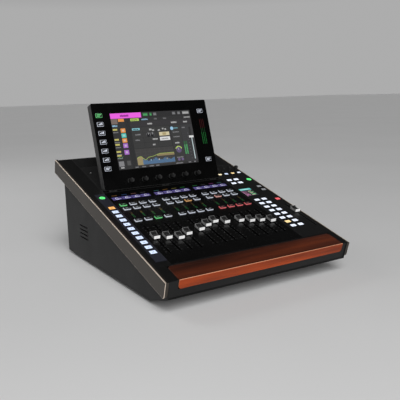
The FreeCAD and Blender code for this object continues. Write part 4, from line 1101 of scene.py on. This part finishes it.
# radius and depth below the socket's face
contactRings = ((1.9, 0.2), (1.7, 0.1), (1.3, 0.14), (1.2, 0.17))


def rearDetails():
    look = rearLook
    shape = Shape(rearFace, "zincPlate", "socketNylon", "contactMetal", "steelBare")
    for nodeName in ("microphone_inputs", "line_outputs", "network_sockets"):
        for box in looseBoxes(nodeName, rearFace):
            x, z = middle(box)
            face = box[1][2]
            for side in (-1, 1):
                screwHead(shape, x + side * look["screwX"], z - side * look["screwZ"], face,
                          look["screwRadius"])
            if nodeName == "microphone_inputs":
                shape.loft([circleRing(x, z, look["barrel"], face - 0.98),
                            circleRing(x, z, look["barrel"], face - 0.4),
                            circleRing(x, z, look["barrel"] - look["barrelEdge"], face - 0.2)],
                           "socketNylon", capStart=False)
                for turn in (90, 210, 330):
                    angle = math.radians(turn)
                    cx = x + look["contactCircle"] * math.cos(angle)
                    cz = z + look["contactCircle"] * math.sin(angle)
                    rings = [circleRing(cx, cz, radius, face - depth, 16) for radius, depth in contactRings]
                    # a metal ring round each contact, then a dark disc in its middle: painted shade
                    # standing in for the contact's hole
                    shape.loft(rings[:3], "contactMetal", capStart=False, capEnd=False)
                    shape.loft(rings[2:], "socketNylon", capStart=False)
                shape.block(x, z + look["latchUp"], *look["latch"], face - 0.2, face + 1.0, "steelBare")
    shape.make("rear_socket_fittings", "console", "zinc")


def cheekEnd():  # closes the opening behind the left cheek, beside the screen pocket
    shape = Shape(panel, "chassisBlack")
    low, high = span("left_cheek", panel)
    floorOfPocket = span("screen_pocket", panel)[0][2]
    shape.block((low[0] + high[0]) / 2, high[1] - rearLook["endPlate"] / 2,
                high[0] - low[0] - rearLook["endGap"], rearLook["endPlate"], floorOfPocket, low[2],
                "chassisBlack")
    shape.make("cheek_end_plate", "console", "black_steel")


def rearNumbers():  # a plain number above each socket
    points, faces = [], []
    for nodeName in ("microphone_inputs", "line_outputs"):
        boxes = looseBoxes(nodeName, rearFace)
        boxes.sort(key=lambda box: (-round(box[0][1]), -box[0][0]))
        for number, box in enumerate(boxes, 1):
            x, z = middle(box)
            spot = rearFace.at(x, z + rearLook["numberUp"], rearLook["numberLift"])
            curve = bpy.data.curves.new("label", "FONT")
            curve.body = str(number)
            curve.size = rearLook["numberSize"] * mm
            curve.align_x = "CENTER"
            carrier = bpy.data.objects.new("label", curve)
            mesh = bpy.data.meshes.new_from_object(carrier)
            base = len(points)
            for vertex in mesh.vertices:
                points.append(spot + rearFace.right * vertex.co.x + rearFace.up * vertex.co.y)
            faces += [[base + index for index in polygon.vertices] for polygon in mesh.polygons]
            bpy.data.objects.remove(carrier)
            bpy.data.meshes.remove(mesh)
    mesh = bpy.data.meshes.new("rear_numbers")
    mesh.from_pydata(points, [], faces)
    mesh.materials.append(finishes["ink"])
    made = putInScene("rear_numbers", mesh)
    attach(made, "console")


screenBack()
rearDetails()
cheekEnd()
rearNumbers()
print("screen back and rear fittings made")

feetLook = {"waist": 0.6, "recess": 3.2, "recessDepth": 1.6}  # the recess is for the screw


def feet():
    shape = Shape(ground, "rubber", "zincPlate", "socketNylon")
    for box in looseBoxes("feet", ground):
        x, y = middle(box)
        radius = (box[1][0] - box[0][0]) / 2
        low, high = box[0][2], box[1][2]
        rings = [circleRing(x, y, feetLook["recess"], low + feetLook["recessDepth"]),
                 circleRing(x, y, feetLook["recess"], low), circleRing(x, y, radius - 1.4, low),
                 circleRing(x, y, radius - 0.5, low + 0.6),
                 circleRing(x, y, radius - feetLook["waist"], high - 2),
                 circleRing(x, y, radius, high - 1.2), circleRing(x, y, radius, high)]
        shape.loft(rings, "rubber")
    shape.make("rubber_feet", "console", "rubber", "feet")


feet()
print("feet made")

cameraLook = {"spot": (-0.66545, -1.12812, 0.38796), "turn": (79.373, 1.657, -31.932), "lens": 51.1}
stageLook = {"floorSize": 60, "skyNear": grey(0.52), "skyHigh": grey(0.05), "rampStart": 0.57,
             "rampEnd": 0.66, "skyStrength": 0.8, "aim": (0, -0.05, 0.12), "sunTurn": (38, -14, 0),
             "sunSpread": 40, "sunStrength": 1.9}
# place, width and power
lampLook = {"frontLow": ((-0.95, -2.1, 0.85), 1.1, 28), "rearLeft": ((-1.2, 1.7, 1.6), 0.9, 9)}


def floor():
    finish = Finish("paleFloor", Specular_IOR_Level=0.25)
    clouds = finish.noise(1.6, 3)
    finish.surface(Base_Color=finish.mix(clouds, grey(0.62), grey(0.68)), Roughness=0.6 + 0.1 * clouds,
                   Normal=finish.bump(finish.noise(400, 2), 0.00005))
    half = stageLook["floorSize"] / 2
    mesh = bpy.data.meshes.new("floor")
    mesh.from_pydata([(-half, -half, 0), (half, -half, 0), (half, half, 0), (-half, half, 0)], [],
                     [(0, 1, 2, 3)])
    mesh.materials.append(finish.material)
    putInScene("floor", mesh)


def lights():
    world = bpy.data.worlds.new("studio")
    bpy.context.scene.world = world
    world.use_nodes = True
    sky = world.node_tree.nodes["Background"]
    build = Nodes(world.node_tree)
    height = build.node("ShaderNodeSeparateXYZ", None, {0: build.node("ShaderNodeTexCoord")}, output=2)
    stops = [(stageLook["rampStart"], stageLook["skyNear"]), (stageLook["rampEnd"], stageLook["skyHigh"])]
    build.feed(sky.inputs["Color"],
               build.node("ShaderNodeValToRGB", {"stops": stops}, {0: height * 0.5 + 0.5}))
    build.feed(sky.inputs["Strength"], stageLook["skyStrength"])
    for name, (spot, size, power) in lampLook.items():
        lamp = bpy.data.lights.new(name, "AREA")
        lamp.shape = "DISK"
        lamp.size = size
        lamp.energy = power
        made = putInScene(name, lamp)
        made.location = spot
        towards = Vector(stageLook["aim"]) - made.location
        made.rotation_euler = towards.to_track_quat("-Z", "Y").to_euler()


def sun():
    lamp = bpy.data.lights.new("sun", "SUN")
    lamp.angle = math.radians(stageLook["sunSpread"])
    lamp.energy = stageLook["sunStrength"]
    made = putInScene("sun", lamp)
    made.rotation_euler = [math.radians(angle) for angle in stageLook["sunTurn"]]


def camera():
    lens = bpy.data.cameras.new("camera")
    lens.lens = cameraLook["lens"]
    lens.sensor_width = 36
    made = putInScene("camera", lens)
    made.location = cameraLook["spot"]
    made.rotation_euler = Euler([math.radians(angle) for angle in cameraLook["turn"]])
    bpy.context.scene.camera = made


floor()
lights()
sun()
camera()
bpy.context.scene.view_settings.view_transform = "Standard"
